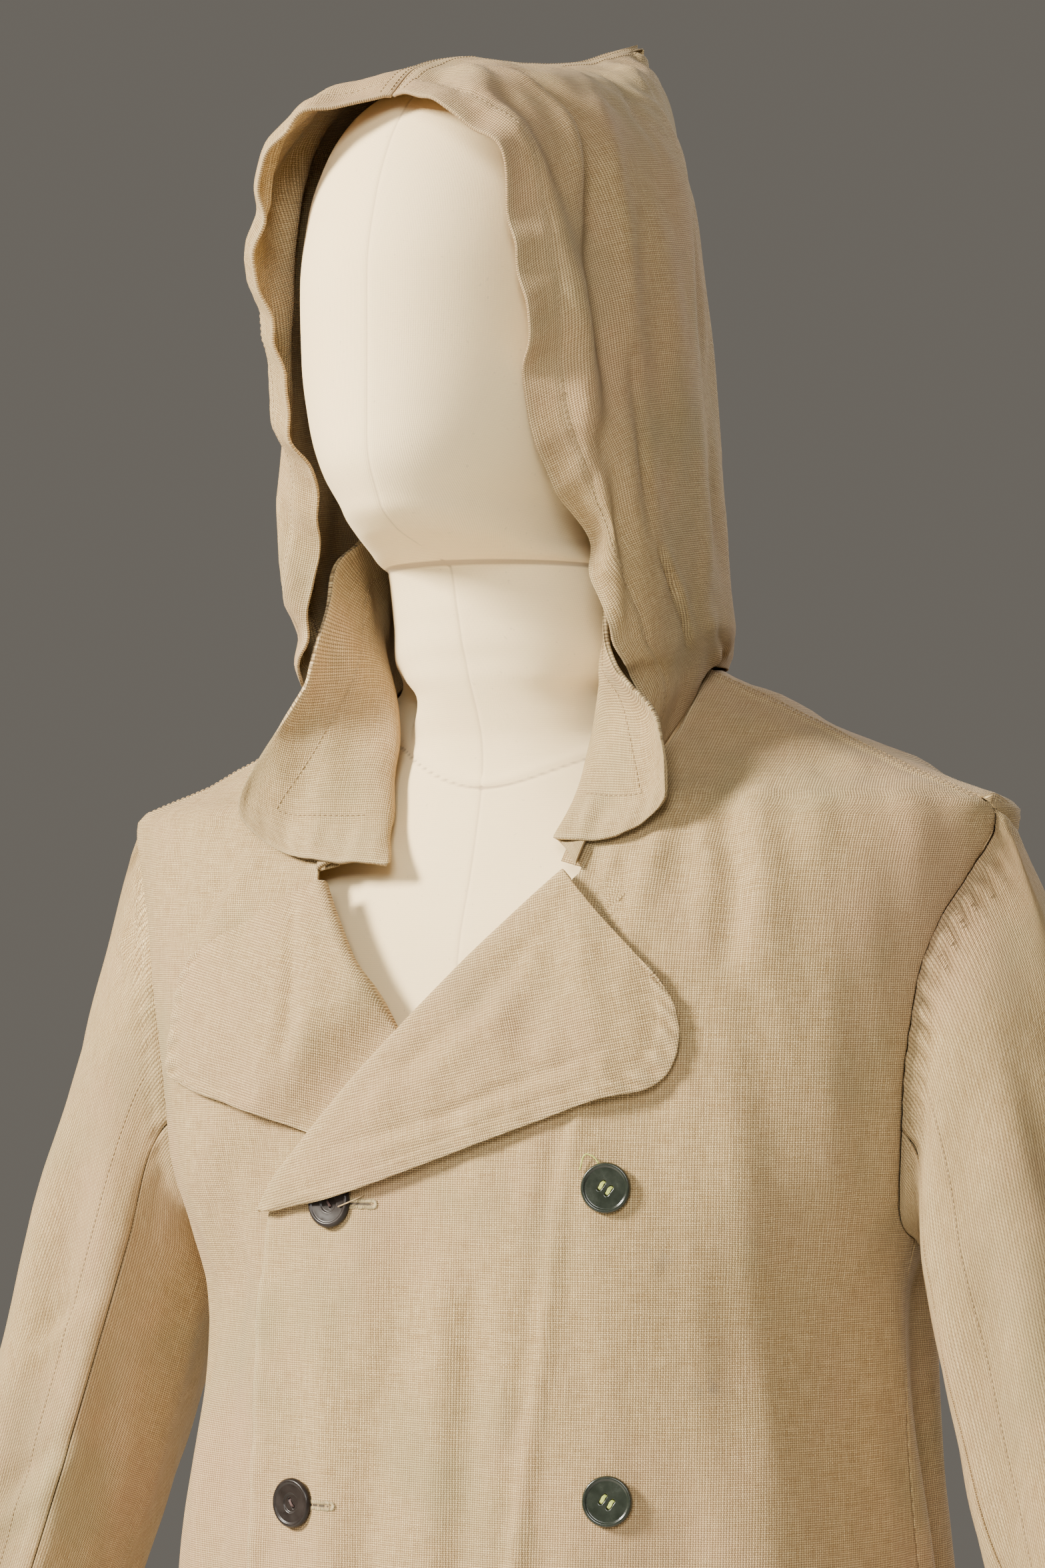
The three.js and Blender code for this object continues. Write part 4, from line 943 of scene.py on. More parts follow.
def into_armhole(angle):
    """The points of the armhole seam, the way out of the cloth and the way into the hole at each."""
    seam, outward = armhole_point(angle)
    along = armhole_point(angle + 1.5)[0] - armhole_point(angle - 1.5)[0]
    hole = unit(np.cross(outward, along))
    centre = np.stack([seam[:, 0] * 0.9, 8 + 0 * seam[:, 0], 1375 + 0 * seam[:, 0]], -1)
    return seam, outward, np.where(np.sum(hole * (centre - seam), -1, keepdims=True) < 0, -hole, hole)


def sleeve_piece(name, side, first, last, count, creases, pucker):
    """One piece of a sleeve, from the armhole down to the cuff."""
    turn = first + 0.17 + (last - first - 0.34) * fine_ends(count, 0.006)
    t = np.concatenate([[0, 0.003, 0.008], np.linspace(0.015, 0.34, 44), np.linspace(0.348, 0.93, 66),
                        [0.936, 0.94, 0.943, 0.947, 0.955, 0.97, 0.985, 0.993, 0.997, 1]])
    angle = np.where(turn > 270, turn - 360, turn)[None, :] + 0 * t[:, None]
    tall = t[:, None] + 0 * angle
    base = sleeve_point(angle, tall)
    seam, _, hole = into_armhole(angle[0])
    base = base + hole[None] * 0.1 * (1 - ease(tall, 0, 0.05))[..., None]
    middle = ring_centre(np.clip((tall - cap_share) / (1 - cap_share), 0, 1))
    middle = np.where(tall[..., None] < cap_share, np.stack(
        [middle[..., 0], middle[..., 1], base[..., 2]], -1), middle)
    outside = unit(base - middle)
    normal = facing(base, outside)
    from_armhole = walked(base)
    round_hole = walked(seam)[None, :] + 0 * tall
    from_cuff = from_armhole[-1:] - from_armhole
    mirrored = base * np.array([side, 1, 1])
    relief = 1.3 * creased(base, creases) * ease(from_armhole, 0, 14) + rumpled(mirrored, 0.8, 12, 36, 170)
    relief = relief * ease(from_armhole, 0, 6)
    band = bell(from_armhole, 11, 9)
    level = seam[None, :, 2]
    strong = pucker * ease(level, 1300, 1400) * ease(level, 1478, 1456)
    strong = strong * ease(np.cos(np.radians(angle)), -0.2, 0.5)
    wave = np.sin(2 * math.pi * round_hole / 11.5 + 1.3 * np.sin(round_hole / 23) - from_armhole / 5)
    relief = relief + (0.7 * ease(level, 1290, 1330) + strong) * band * wave
    relief = relief - 0.45 * bell(from_armhole, 0, 2.5) + 0.9 * bell(from_armhole, 7, 4.5)
    relief = relief + 0.7 * ease(from_cuff, 26, 22) - 0.5 * bell(from_cuff, 24, 1.6)
    across = np.radians(turn)[None, :] * 54 + 0 * tall
    edge = np.minimum(across - across[:, :1], across[:, -1:] - across)
    relief = relief + 0.7 * ease(edge, 8.5, 6.5) * ease(from_armhole, 4, 20)
    wear_and_crest_light = np.maximum(bell(from_cuff, 0, 3), 0.5 * bell(from_armhole, 5, 3))
    wear_and_crest_light = np.maximum(wear_and_crest_light, 0.5 * bell(edge, 7, 2))
    outer = base + normal * relief[..., None]
    flip = np.array([side, 1, 1])
    piece = cloth_piece(name, outer * flip, normal * flip, across, from_armhole, wear_and_crest_light)
    return piece, outer * flip, normal * flip, t


for side_name, side, creases, pucker in (("left", 1, left_sleeve_creases, 2.3),
                                         ("right", -1, right_sleeve_creases, 1.6)):
    for part_name, first, last, count, flat, area in (
            ("top", front_seam_turn, back_seam_turn, 76, (0.25, 0.64), 0.126),
            ("under", back_seam_turn, 330, 38, (0.14, 0.49), 0.053)):
        piece, outer, normal, t = sleeve_piece(
            "sleeve_%s_%s" % (part_name, side_name), side, first, last, count, creases, pucker)
        cuff = int(np.argmin(np.abs(t - 0.943)))
        runs = [(outer[cuff, 2:-2] + normal[cuff, 2:-2] * 0.1, normal[cuff, 2:-2])]
        if part_name == "top":
            runs.append((outer[8:-3, 8], normal[8:-3, 8]))
            runs.append((outer[8:-3, -9], normal[8:-3, -9]))
        threads = stitched("stitches_%s_%s" % (part_name, side_name), runs)
        hang(piece, "%s_sleeve_%s" % (side_name, part_name))

# The lapels
# The top of each front turns back over the chest in a soft roll. A facing of the same linen is seamed
# to it round the edge, which puckers, most of all along the upper edge.
# Place along the roll line, height on it, x and z on the outline, height of the roll and of the outline.
lapel_rows = {
    "left": [
        (0, 1447, 112, 1399, 6.6, 5.4), (0.08, 1436, 121, 1386, 6.8, 5.6), (0.16, 1424, 124, 1371, 6.8, 5.6),
        (0.24, 1412, 121, 1357, 6.8, 5.6), (0.32, 1399, 110, 1346, 6.8, 5.6),
        (0.42, 1382, 88, 1341, 6.8, 5.6),
        (0.54, 1362, 58, 1330, 6.8, 5.8), (0.66, 1341, 25, 1318, 6.8, 6), (0.78, 1320, -12, 1305, 6.8, 6.2),
        (0.9, 1300, -55, 1291, 6.8, 6.4), (1, 1284, -90, 1284, 5, 4.6),
    ],
    "right": [
        (0, 1444, -156, 1409, 8, 4.6), (0.1, 1430, -166, 1392, 9, 4.6), (0.2, 1412, -172, 1370, 9, 4.8),
        (0.3, 1395, -175, 1352, 9, 5), (0.4, 1378, -152, 1343, 8.5, 5), (0.5, 1362, -118, 1335, 8, 5),
        (0.6, 1345, -84, 1325, 8, 5), (0.7, 1325, -45, 1312, 8, 5), (0.8, 1303, 0, 1297, 8, 5),
        (0.9, 1284, 42, 1282, 8, 5), (1, 1272, 64, 1273, 8, 5),
    ],
}
lapel_creases = {
    "left": [
        (-1.9, 8, [(59, -111, 1440), (40, -122, 1404), (17, -127, 1379), (-15, -129, 1356)]),
        (1.5, 11, [(50, -120, 1402), (35, -126, 1379), (0, -130, 1353), (-37, -130, 1333)]),
        (-1.6, 16, [(72, -118, 1406), (60, -124, 1388), (50, -127, 1366)]),
        (-1.0, 3.5, [(91, -120, 1366), (80, -123, 1361), (43, -128, 1347), (15, -130, 1335),
                     (-29, -131, 1322),
                     (-60, -129, 1315)]),
        (0.8, 5, [(88, -120, 1357), (78, -123, 1352), (42, -128, 1338), (14, -130, 1327), (-30, -131, 1315)]),
        (-1.2, 3.5, [(85, -122, 1362), (85, -122, 1350)]),
        (-1.0, 7, [(17, -130, 1340), (20, -130, 1328)]),
        (1.2, 9, [(96, -114, 1396), (104, -114, 1378), (100, -118, 1364)]),
    ],
    "right": [
        (-2.2, 3.6, [(-87, -111, 1437), (-83, -120, 1400), (-85, -122, 1370), (-92, -118, 1338)]),
        (1.7, 8, [(-75, -114, 1431), (-69, -122, 1395), (-72, -122, 1360), (-77, -118, 1335)]),
        (-1.6, 4, [(-96, -119, 1358), (-95, -117, 1335)]),
        (1.5, 6, [(-64, -102, 1436), (-50, -115, 1411), (-35, -120, 1388)]),
        (-1.4, 12, [(-132, -106, 1400), (-120, -112, 1372), (-112, -114, 1350)]),
        (1.2, 9, [(-150, -100, 1396), (-142, -106, 1370), (-134, -110, 1350)]),
    ],
}


def lapel_piece(name, side):
    left = side == "left"
    edge_x = left_edge_x if left else right_edge_x
    table = lapel_rows[side]
    roll_z, out_x, out_z, roll_lift, out_lift = (
        table_curve(table, c)(fine_ends(74, 0.004)) for c in range(1, 6))
    roll_x = edge_x(roll_z)
    start_angle = angle_at_x(roll_z, roll_x)
    start = body(start_angle, roll_z)
    start_normal = body_normal(start_angle, roll_z)
    next_z = roll_z + (out_z - roll_z) * 0.05
    next_x = roll_x + (out_x - roll_x) * 0.05
    over = unit(body(angle_at_x(next_z, next_x), next_z) - start)

    def lifted(x, z, natural):
        covered = 0 if left else ease(x - cover_x(z), -56, -13)
        return natural + (-4.9 - natural) * covered

    top = lifted(roll_x, roll_z, roll_lift)
    low = (0 if left else underlap(roll_x, roll_z)) - cloth
    round_half = (top - low) / 2
    level = (top + low) / 2
    rows = [start - over * 0.6 + start_normal * (level - round_half)[:, None]]
    for turn in np.radians(np.linspace(12, 168, 15)):
        back = -1.5 - round_half * math.sin(turn)
        lift = (level - round_half * math.cos(turn))[:, None]
        rows.append(start + over * back[:, None] + start_normal * lift)
    roll_rows = len(rows)
    runs = np.concatenate([[0.03, 0.06, 0.1], np.linspace(0.14, 0.97, 46), [0.985, 0.994, 1]])
    for t in runs:
        x = roll_x + (out_x - roll_x) * t
        z = roll_z + (out_z - roll_z) * t
        natural = roll_lift + (out_lift - roll_lift) * t + 1.2 * math.sin(math.pi * t)
        angle = angle_at_x(z, x)
        rows.append(body(angle, z) + body_normal(angle, z) * lifted(x, z, natural)[:, None])
    base = np.stack(rows, 1)
    hint = np.zeros_like(base)
    hint[:, roll_rows + 2:, 1] = -1
    normal = facing(base, hint)
    from_start = walked(base, 1)
    from_outline = from_start[:, -1:] - from_start
    outline = walked(base[:, -1])[:, None] + 0 * from_start
    flat_part = ease(from_start, 20, 32)
    relief = 1.4 * creased(base, lapel_creases[side]) * flat_part
    relief = relief + rumpled(base, 0.6, 11, 40, 120) * flat_part
    upper = ease(outline, 95, 60)
    puckered = bell(from_outline, 7, 5.5) * (0.55 + 1.25 * upper)
    relief = relief + puckered * np.sin(2 * math.pi * outline / 11.3 + 1.1 * np.sin(outline / 19)) * flat_part
    relief = relief + (0.7 * ease(from_outline, 13, 10) - 0.4 * ease(from_outline, 1.5, 0)) * flat_part
    if not left:
        under_left = ease(base[..., 0] - cover_x(base[..., 2]), -66, -30)
        relief = relief * (1 - under_left)
    tilt = math.radians(13 if left else 168)
    across = -base[..., 0] * math.sin(tilt) + base[..., 2] * math.cos(tilt)
    down = base[..., 0] * math.cos(tilt) + base[..., 2] * math.sin(tilt)
    wear_and_crest_light = np.maximum(bell(from_outline, 0, 2.5), 0.55 * bell(from_start, 11, 5))
    # The raised half of each edge pucker is lightened as well: a painted highlight on the crests.
    wear_and_crest_light = np.maximum(wear_and_crest_light, 0.5 * puckered * (np.sin(2 * math.pi * outline / 11.3) > 0))
    outer = base + normal * relief[..., None]
    return cloth_piece(name, outer, normal, across, down, wear_and_crest_light)


lapel_left = lapel_piece("lapel_left", "left")
lapel_right = lapel_piece("lapel_right", "right")
hang(lapel_left, "left_lapel")
hang(lapel_right, "right_lapel")

# The hood
# Two halves of linen, sewn over the top and down the back to a peak. The face edge is hemmed and has
# gone wavy with washing, a short dart is taken at the side of the neck, and soft folds hang down the side.
# Ribs: share from the face edge to the back seam, place on the neck seam, then x, y, z down the rib.
hood_ribs = [
    (0, 0.87, [(0, -165, 1824), (40, -184, 1812), (68, -176, 1776), (70, -163, 1722), (64, -142, 1660),
               (74, -107, 1606), (88, -105, 1563), (91, -76, 1530)]),
    (0.12, 0.82, [(0, -142, 1841), (42, -152, 1831), (77, -150, 1792), (85, -140, 1732), (88, -126, 1672),
                  (92, -114, 1616), (95, -98, 1564), (94, -72, 1538)]),
    (0.3, 0.75, [(0, -100, 1854), (46, -104, 1843), (84, -108, 1800), (93, -108, 1738), (97, -104, 1676),
                 (101, -94, 1614), (100, -72, 1564), (97, -46, 1545)]),
    (0.5, 0.6, [(0, -30, 1864), (50, -32, 1850), (91, -36, 1800), (98, -38, 1736), (101, -38, 1674),
                (103, -30, 1612), (102, -12, 1576), (96, 0, 1563)]),
    (0.7, 0.33, [(0, 35, 1877), (38, 34, 1865), (66, 22, 1808), (75, 22, 1742), (82, 24, 1678),
                 (87, 28, 1614),
                 (85, 38, 1580), (81, 44, 1568)]),
    (0.86, 0.17, [(0, 74, 1890), (22, 73, 1877), (42, 60, 1816), (52, 52, 1746), (56, 51, 1684),
                  (57, 56, 1620),
                  (51, 67, 1580), (47, 73, 1568)]),
    (1, 0, [(0, 100, 1898), (0, 99, 1880), (0, 82, 1822), (0, 66, 1756), (0, 61, 1690), (0, 67, 1622),
            (0, 76, 1580), (0, 80, 1568)]),
]
rib_places = [0, 0.12, 0.27, 0.42, 0.57, 0.72, 0.86, 0.94]
neck_front = [(0.5, 1555), (0.6, 1550), (0.7, 1535), (0.79, 1515), (0.87, 1493), (0.94, 1470), (1, 1452)]
hood_creases = [
    (3.6, 10, [(41, -165, 1824), (68, -161, 1800), (80, -150, 1769), (84, -141, 1738), (88, -131, 1700),
               (89, -124, 1663), (90, -118, 1630)]),
    (-2.6, 7, [(47, -152, 1827), (71, -154, 1799), (82, -145, 1766), (85, -138, 1740)]),
    (2.6, 7, [(46, -130, 1836), (71, -123, 1816), (83, -129, 1788), (87, -129, 1755)]),
    (-4.8, 11, [(49, -112, 1839), (78, -114, 1808), (87, -122, 1772), (91, -123, 1724), (94, -116, 1686),
                (93, -117, 1647), (93, -112, 1615)]),
    (2.2, 8, [(28, -40, 1856), (74, -90, 1821), (87, -99, 1789), (93, -99, 1743), (96, -96, 1700)]),
    (-1.7, 6, [(24, 1, 1864), (60, -30, 1845), (76, -53, 1826), (88, -52, 1803)]),
    (1.6, 6, [(5, 49, 1880), (45, 11, 1857), (70, -16, 1824)]),
    (-1.7, 5, [(96, -98, 1700), (99, -93, 1652), (101, -90, 1614)]),
    (2.6, 15, [(94, -63, 1771), (98, -58, 1716), (101, -55, 1670)]),
    (-2.0, 12, [(88, -10, 1800), (94, -12, 1730), (97, -8, 1660), (99, -4, 1610)]),
    (2.2, 12, [(72, 28, 1800), (80, 26, 1730), (84, 26, 1660)]),
    (-1.8, 9, [(56, 52, 1780), (62, 48, 1710), (66, 48, 1640)]),
    (-2, 6, [(91, -120, 1663), (88, -119, 1637)]),
    (-2.6, 7, [(95, -114, 1644), (96, -109, 1612), (95, -99, 1565)]),
    (2.1, 6, [(90, -120, 1644), (91, -113, 1612), (91, -105, 1581)]),
    (-2.6, 2.2, [(101, -82, 1606), (100, -62, 1583), (99, -46, 1562)]),
    (1.2, 4, [(101, -76, 1608), (100, -56, 1585), (99, -40, 1564)]),
    (-2.4, 4, [(100, -16, 1573), (94, 2, 1566), (86, 21, 1557)]),
    (1.7, 6, [(102, -28, 1578), (95, -8, 1568), (87, 9, 1558)]),
    (-2.2, 6, [(14, -150, 1836), (30, -160, 1826), (45, -172, 1816)]),
    (1.8, 6, [(18, -138, 1843), (36, -146, 1834), (52, -158, 1820)]),
    (2.4, 9, [(5, 82, 1886), (9, 92, 1884)]),
]
neck_front_z = table_curve(neck_front, 1)


def neck_frame(place, side):
    """The neck seam, from 0 at the centre back to 1 at its front end, with two directions at each place."""

    def seam_at(q):
        z = np.where(q >= 0.5, neck_front_z(q), neck_height)
        front = angle_at_x(z, left_curve(z) if side > 0 else right_curve(z))
        corner = np.abs(angle_at_x(z, 86 + 0 * z))
        angle = np.where(q >= 0.5, front, side * (180 - q / 0.5 * (180 - corner)))
        return body(angle, z), body_normal(angle, z)

    point, normal = seam_at(place)
    along = seam_at(np.minimum(1, place + 0.01))[0] - seam_at(np.maximum(0, place - 0.01))[0]
    into = unit(np.cross(normal, along))
    centre = np.stack([0 * place, -10 + 0 * place, point[..., 2] + 5], -1)
    return point, normal, np.where(np.sum(into * (centre - point), -1, keepdims=True) < 0, -into, into)


def hood_half(name, side):
    v = np.concatenate([[0, 0.004, 0.009], np.linspace(0.016, 0.1, 12), np.linspace(0.112, 0.975, 84),
                        [0.985, 0.992, 0.996, 1]])
    u = np.concatenate([[0, 0.004, 0.009], np.linspace(0.018, 0.985, 120), [0.992, 0.996, 1]])
    shares = [r[0] for r in hood_ribs]
    columns = [curve(shares, [r[2][k] for r in hood_ribs])(v) for k in range(len(rib_places))]
    place = curve(shares, [r[1] for r in hood_ribs])(v)
    seam, seam_normal, _ = neck_frame(place, side)
    foot = seam + seam_normal * 1.1
    columns.append(np.stack([np.abs(foot[:, 0]), foot[:, 1], foot[:, 2]], -1))
    base = curve(rib_places + [1], np.stack(columns))(u)
    base[..., 0] = np.maximum(base[..., 0], seam_gap / 2)
    outside = unit(base - np.array([0, -40, 1690]))
    normal = facing(base, outside)
    from_face = walked(base, 1)
    from_back = from_face[:, -1:] - from_face
    from_top = walked(base)
    from_neck = from_top[-1:] - from_top
    face_walk = from_top[:, :1] + 0 * from_face
    free = ease(from_top, 0, 12) * ease(from_back, 0, 12) * ease(from_neck, 0, 10)
    shift = 0 if side > 0 else 9
    flip = np.array([side, 1, 1])
    relief = 1.9 * creased(base + np.array([0, shift, shift]), hood_creases) * free
    relief = relief + rumpled(base * flip, 0.7, 13, 38, 190) * free
    wavy = 3.1 * np.sin(2 * math.pi * face_walk / 76 + 0.8 + shift)
    wavy = wavy + 1.7 * np.sin(2 * math.pi * face_walk / 43 + 2.2)
    wavy = wavy + 0.8 * np.sin(2 * math.pi * face_walk / 24 + shift)
    relief = relief + wavy * bell(from_face, 0, 22) * ease(from_top, 8, 60) * ease(from_neck, 10, 60)
    relief = relief + (0.8 * ease(from_face, 19, 16) - 0.6 * bell(from_face, 19.5, 1.5)) * free
    tucks = bell(from_face, 18, 6) * np.sin(2 * math.pi * face_walk / 9.5)
    relief = relief + 0.22 * tucks * free
    seam_band = np.minimum(from_top, from_back)
    relief = relief + 0.7 * bell(seam_band, 4, 3) * ease(seam_band, 0, 3)
    wear_and_crest_light = np.maximum(bell(from_face, 0, 2.5), 0.45 * bell(from_face, 18, 2.5))
    wear_and_crest_light = np.maximum(wear_and_crest_light, 0.6 * bell(seam_band, 4, 3))
    outer = base + normal * relief[..., None]
    outer[..., 0] = np.maximum(outer[..., 0], seam_gap / 2)
    piece = cloth_piece(name, outer * flip, normal * flip, from_face, from_top, wear_and_crest_light, own_side=side)

    path, outward = line_at(18.2, from_face, outer, normal, range(4, len(u) - 6))
    runs = [(path * flip, outward * flip)]
    for away in (2.4, 7.5):
        path, outward = line_at(away, from_top.T, outer.transpose(1, 0, 2), normal.transpose(1, 0, 2),
                                range(3, len(v) - 3))
        runs.append((path * flip, outward * flip))
    return piece, stitched("stitches_" + name, runs)


hood_left, hood_left_thread = hood_half("hood_half_left", 1)
hood_right, hood_right_thread = hood_half("hood_half_right", -1)
hang(hood_left, "hood_left")
hang(hood_right, "hood_right")

# The collar
# Two layers of linen, sewn to the neck inside the hood. It stands a little, turns over and falls to
# rounded ends. Its stitching runs a finger's width in from the edge and gathers the ends slightly.
# Place on the neck seam, the crest it turns over, its free edge.
collar_rows = {
    1: [
        (0, (0, 63, 1590), (0, 52, 1625)), (0.2, (40, 51, 1590), (34, 38, 1627)),
        (0.38, (68, 18, 1592), (57, 4, 1629)), (0.5, (73, -14, 1594), (64, -30, 1628)),
        (0.6, (75, -34, 1590), (70, -58, 1624)), (0.68, (71, -47, 1580), (75, -84, 1609)),
        (0.75, (66, -54, 1565), (77, -94, 1583)), (0.82, (60, -60, 1546), (84, -100, 1550)),
        (0.88, (56, -64, 1520), (106, -93, 1521)), (0.94, (54, -73, 1494), (112, -93, 1490)),
        (1, (50, -93, 1467), (97, -96, 1463)),
    ],
    -1: [
        (0, (0, 63, 1590), (0, 52, 1625)), (0.2, (-40, 51, 1590), (-34, 38, 1627)),
        (0.38, (-68, 18, 1592), (-57, 4, 1629)), (0.5, (-73, -14, 1594), (-64, -30, 1628)),
        (0.6, (-75, -34, 1590), (-70, -58, 1624)), (0.68, (-71, -47, 1582), (-75, -84, 1609)),
        (0.75, (-66, -54, 1565), (-77, -94, 1583)), (0.82, (-59, -58, 1548), (-84, -100, 1549)),
        (0.88, (-54, -64, 1524), (-110, -94, 1520)), (0.94, (-50, -76, 1486), (-129, -94, 1486)),
        (1, (-38, -100, 1456), (-120, -96, 1458)),
    ],
}
collar_creases = [
    (1.4, 5, [(62, -82, 1489), (66, -86, 1482), (71, -91, 1472)]),
    (-1.4, 5, [(75, -82, 1489), (79, -86, 1482), (83, -90, 1475)]),
    (1.4, 5, [(88, -86, 1488), (86, -93, 1469)]),
    (1.5, 5, [(-84, -96, 1472), (-80, -98, 1455)]),
    (-1.3, 5, [(-70, -97, 1468), (-68, -98, 1455)]),
    (1.4, 5, [(-57, -95, 1470), (-54, -99, 1456)]),
    (-1.3, 5, [(-101, -94, 1474), (-98, -96, 1456)]),
    (-1.6, 9, [(-94, -85, 1502), (-103, -94, 1472)]),
    (1.6, 10, [(-80, -74, 1540), (-90, -84, 1500)]),
    (-1.8, 9, [(76, -92, 1590), (72, -80, 1560), (80, -84, 1520)]),
    (1.5, 8, [(70, -70, 1572), (70, -76, 1540)]),
]
collar_layers = 2.4


def collar_grid(side, places):
    table = collar_rows[side]
    at = [r[0] for r in table]
    stand_steps = np.concatenate([[0, 0.02, 0.05], np.linspace(0.1, 0.95, 13)])
    fall_steps = np.concatenate([np.linspace(0.0, 0.94, 34), [0.965, 0.985, 0.995, 1]])
    columns = []
    for j, (t, falling) in enumerate([(t, False) for t in stand_steps] + [(t, True) for t in fall_steps]):
        reach = 1 - (0.05 * t**7 * ease(places, 0.8, 1) if falling else 0)
        place = places * reach
        crest = curve(at, [r[1] for r in table])(place)
        edge = curve(at, [r[2] for r in table])(place)
        point, normal, into = neck_frame(place, side)
        inset = (cloth + 1.8 + collar_layers) - 3.6 * ease(place, 0.86, 0.94)
        foot = point + normal * 0.5 + into * inset[:, None]
        rise = np.linalg.norm(crest - foot, axis=-1, keepdims=True)
        fall = np.linalg.norm(edge - crest, axis=-1, keepdims=True)
        end = ease(place, 0.87, 0.99)[:, None]
        over = unit(unit(crest - foot) + unit(edge - crest)) * (1 - end) + end * np.array([0.1, -0.95, 0.05])
        over = unit(over)
        if falling:
            a, b = crest, crest + over * 0.36 * np.minimum(fall, 40) * (1 - 0.5 * end)
            c, d = edge + (crest - edge) * 0.35, edge
        else:
            a, b = foot, foot + unit(unit(crest - foot) + np.array([0, 0, 1])) * rise * 0.3
            c, d = crest - over * 0.36 * rise, crest
        columns.append((1 - t) ** 3 * a + 3 * (1 - t) ** 2 * t * b + 3 * (1 - t) * t * t * c + t**3 * d)
    return np.stack(columns, 1)


half_places = np.concatenate([np.linspace(0, 0.55, 34), np.linspace(0.56, 0.975, 56),
                              [0.984, 0.992, 0.997, 1]])
right_half = collar_grid(-1, half_places)
left_half = collar_grid(1, half_places)
collar_base = np.concatenate([right_half[:0:-1], left_half])
toward_neck = np.array([0, -20, 0]) - collar_base
toward_neck[:, 20:] = 0
collar_normal = facing(collar_base, toward_neck)
up_collar = walked(collar_base, 1)
from_collar_edge = up_collar[:, -1:] - up_collar
along_collar = walked(collar_base)
from_collar_end = np.minimum(along_collar, along_collar[-1:] - along_collar)
outline = np.minimum(from_collar_edge, from_collar_end)
collar_relief = creased(collar_base, collar_creases) * ease(up_collar, 20, 40)
collar_relief = collar_relief + rumpled(collar_base, 0.55, 14, 34, 80) * ease(up_collar, 6, 20)
collar_relief = collar_relief - 0.5 * bell(outline, 25, 1.5) * ease(up_collar, 24, 34)
gathers = bell(from_collar_end, 13, 11) * ease(up_collar, 30, 45)
collar_relief = collar_relief + 0.75 * gathers * np.sin(2 * math.pi * from_collar_edge / 12.5 + 0.7)
collar_relief = collar_relief + 0.6 * bell(from_collar_edge, 0, 16) * np.sin(along_collar / 6.1)
collar_relief = collar_relief - 0.35 * ease(outline, 1.6, 0)
collar_worn = np.maximum(bell(outline, 0, 2.5), 0.4 * gathers)
collar_outer = collar_base + collar_normal * collar_relief[..., None]
collar = cloth_piece("collar_double", collar_outer, collar_normal, along_collar[:, 30:31] + 0 * up_collar,
                     up_collar, collar_worn, thickness=collar_layers)


def collar_end_line(row, column, stop):
    points = [collar_outer[row, j] for j in range(column, stop)]
    return points, [collar_normal[row, j] for j in range(column, stop)]


middle_column = collar_base.shape[1] - 12
near_right = int(np.argmin(np.abs(along_collar[:, middle_column] - 24)))
near_left = int(np.argmin(np.abs(along_collar[-1, middle_column] - along_collar[:, middle_column] - 24)))
path, outward = line_at(25, from_collar_edge, collar_outer, collar_normal, range(near_right, near_left))
turn_column = int(np.argmin(np.abs(from_collar_edge[near_right] - 25)))
end_path, end_outward = collar_end_line(near_right, 26, turn_column)
start_path, start_outward = collar_end_line(near_left, 26, turn_column)
path = np.concatenate([end_path, path, start_path[::-1]])
outward = np.concatenate([end_outward, outward, start_outward[::-1]])
collar_thread = stitched("stitches_collar", [(path + 0.1 * outward, outward)])
hang(collar, "collar")

# The turned-in edges of the seams
# Inside the coat each seam leaves the raw edges of its two pieces, pressed flat behind it. They close
# the groove of the seam from behind, at the armholes, shoulders, sides and sleeves and along the hood.
# A narrow roll lies in the groove of each armhole, and a strip backs the front of the neck seam.
def turned_in(name, runs):
    """Flat strips of cloth behind seams. Each run: the seam's points, outward and crosswise directions."""
    points, faces, marks = [], [], []
    for path, outward, crosswise, near, far in runs:
        first = len(points)
        for p, n, c, w in zip(path, outward, crosswise, walked(path)):
            for reach, depth in ((-near, 0.3), (0, 0.25), (far, 0.3), (far, 0.8), (0, 0.8), (-near, 0.8)):
                points.append(p + c * reach - n * (cloth + depth))
                marks.append((reach, w, 0))
        for i in range(len(path) - 1):
            for k in range(6):
                m = (k + 1) % 6
                low = first + i * 6
                faces.append((low + k, low + 6 + k, low + 6 + m, low + m))
        faces.append(tuple(first + k for k in range(6)))
        faces.append(tuple(first + (len(path) - 1) * 6 + k for k in range(5, -1, -1)))
    piece = add_mesh(name, points, faces, marks)
    piece.data.materials.append(linen)
    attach(piece, "root")
    return piece


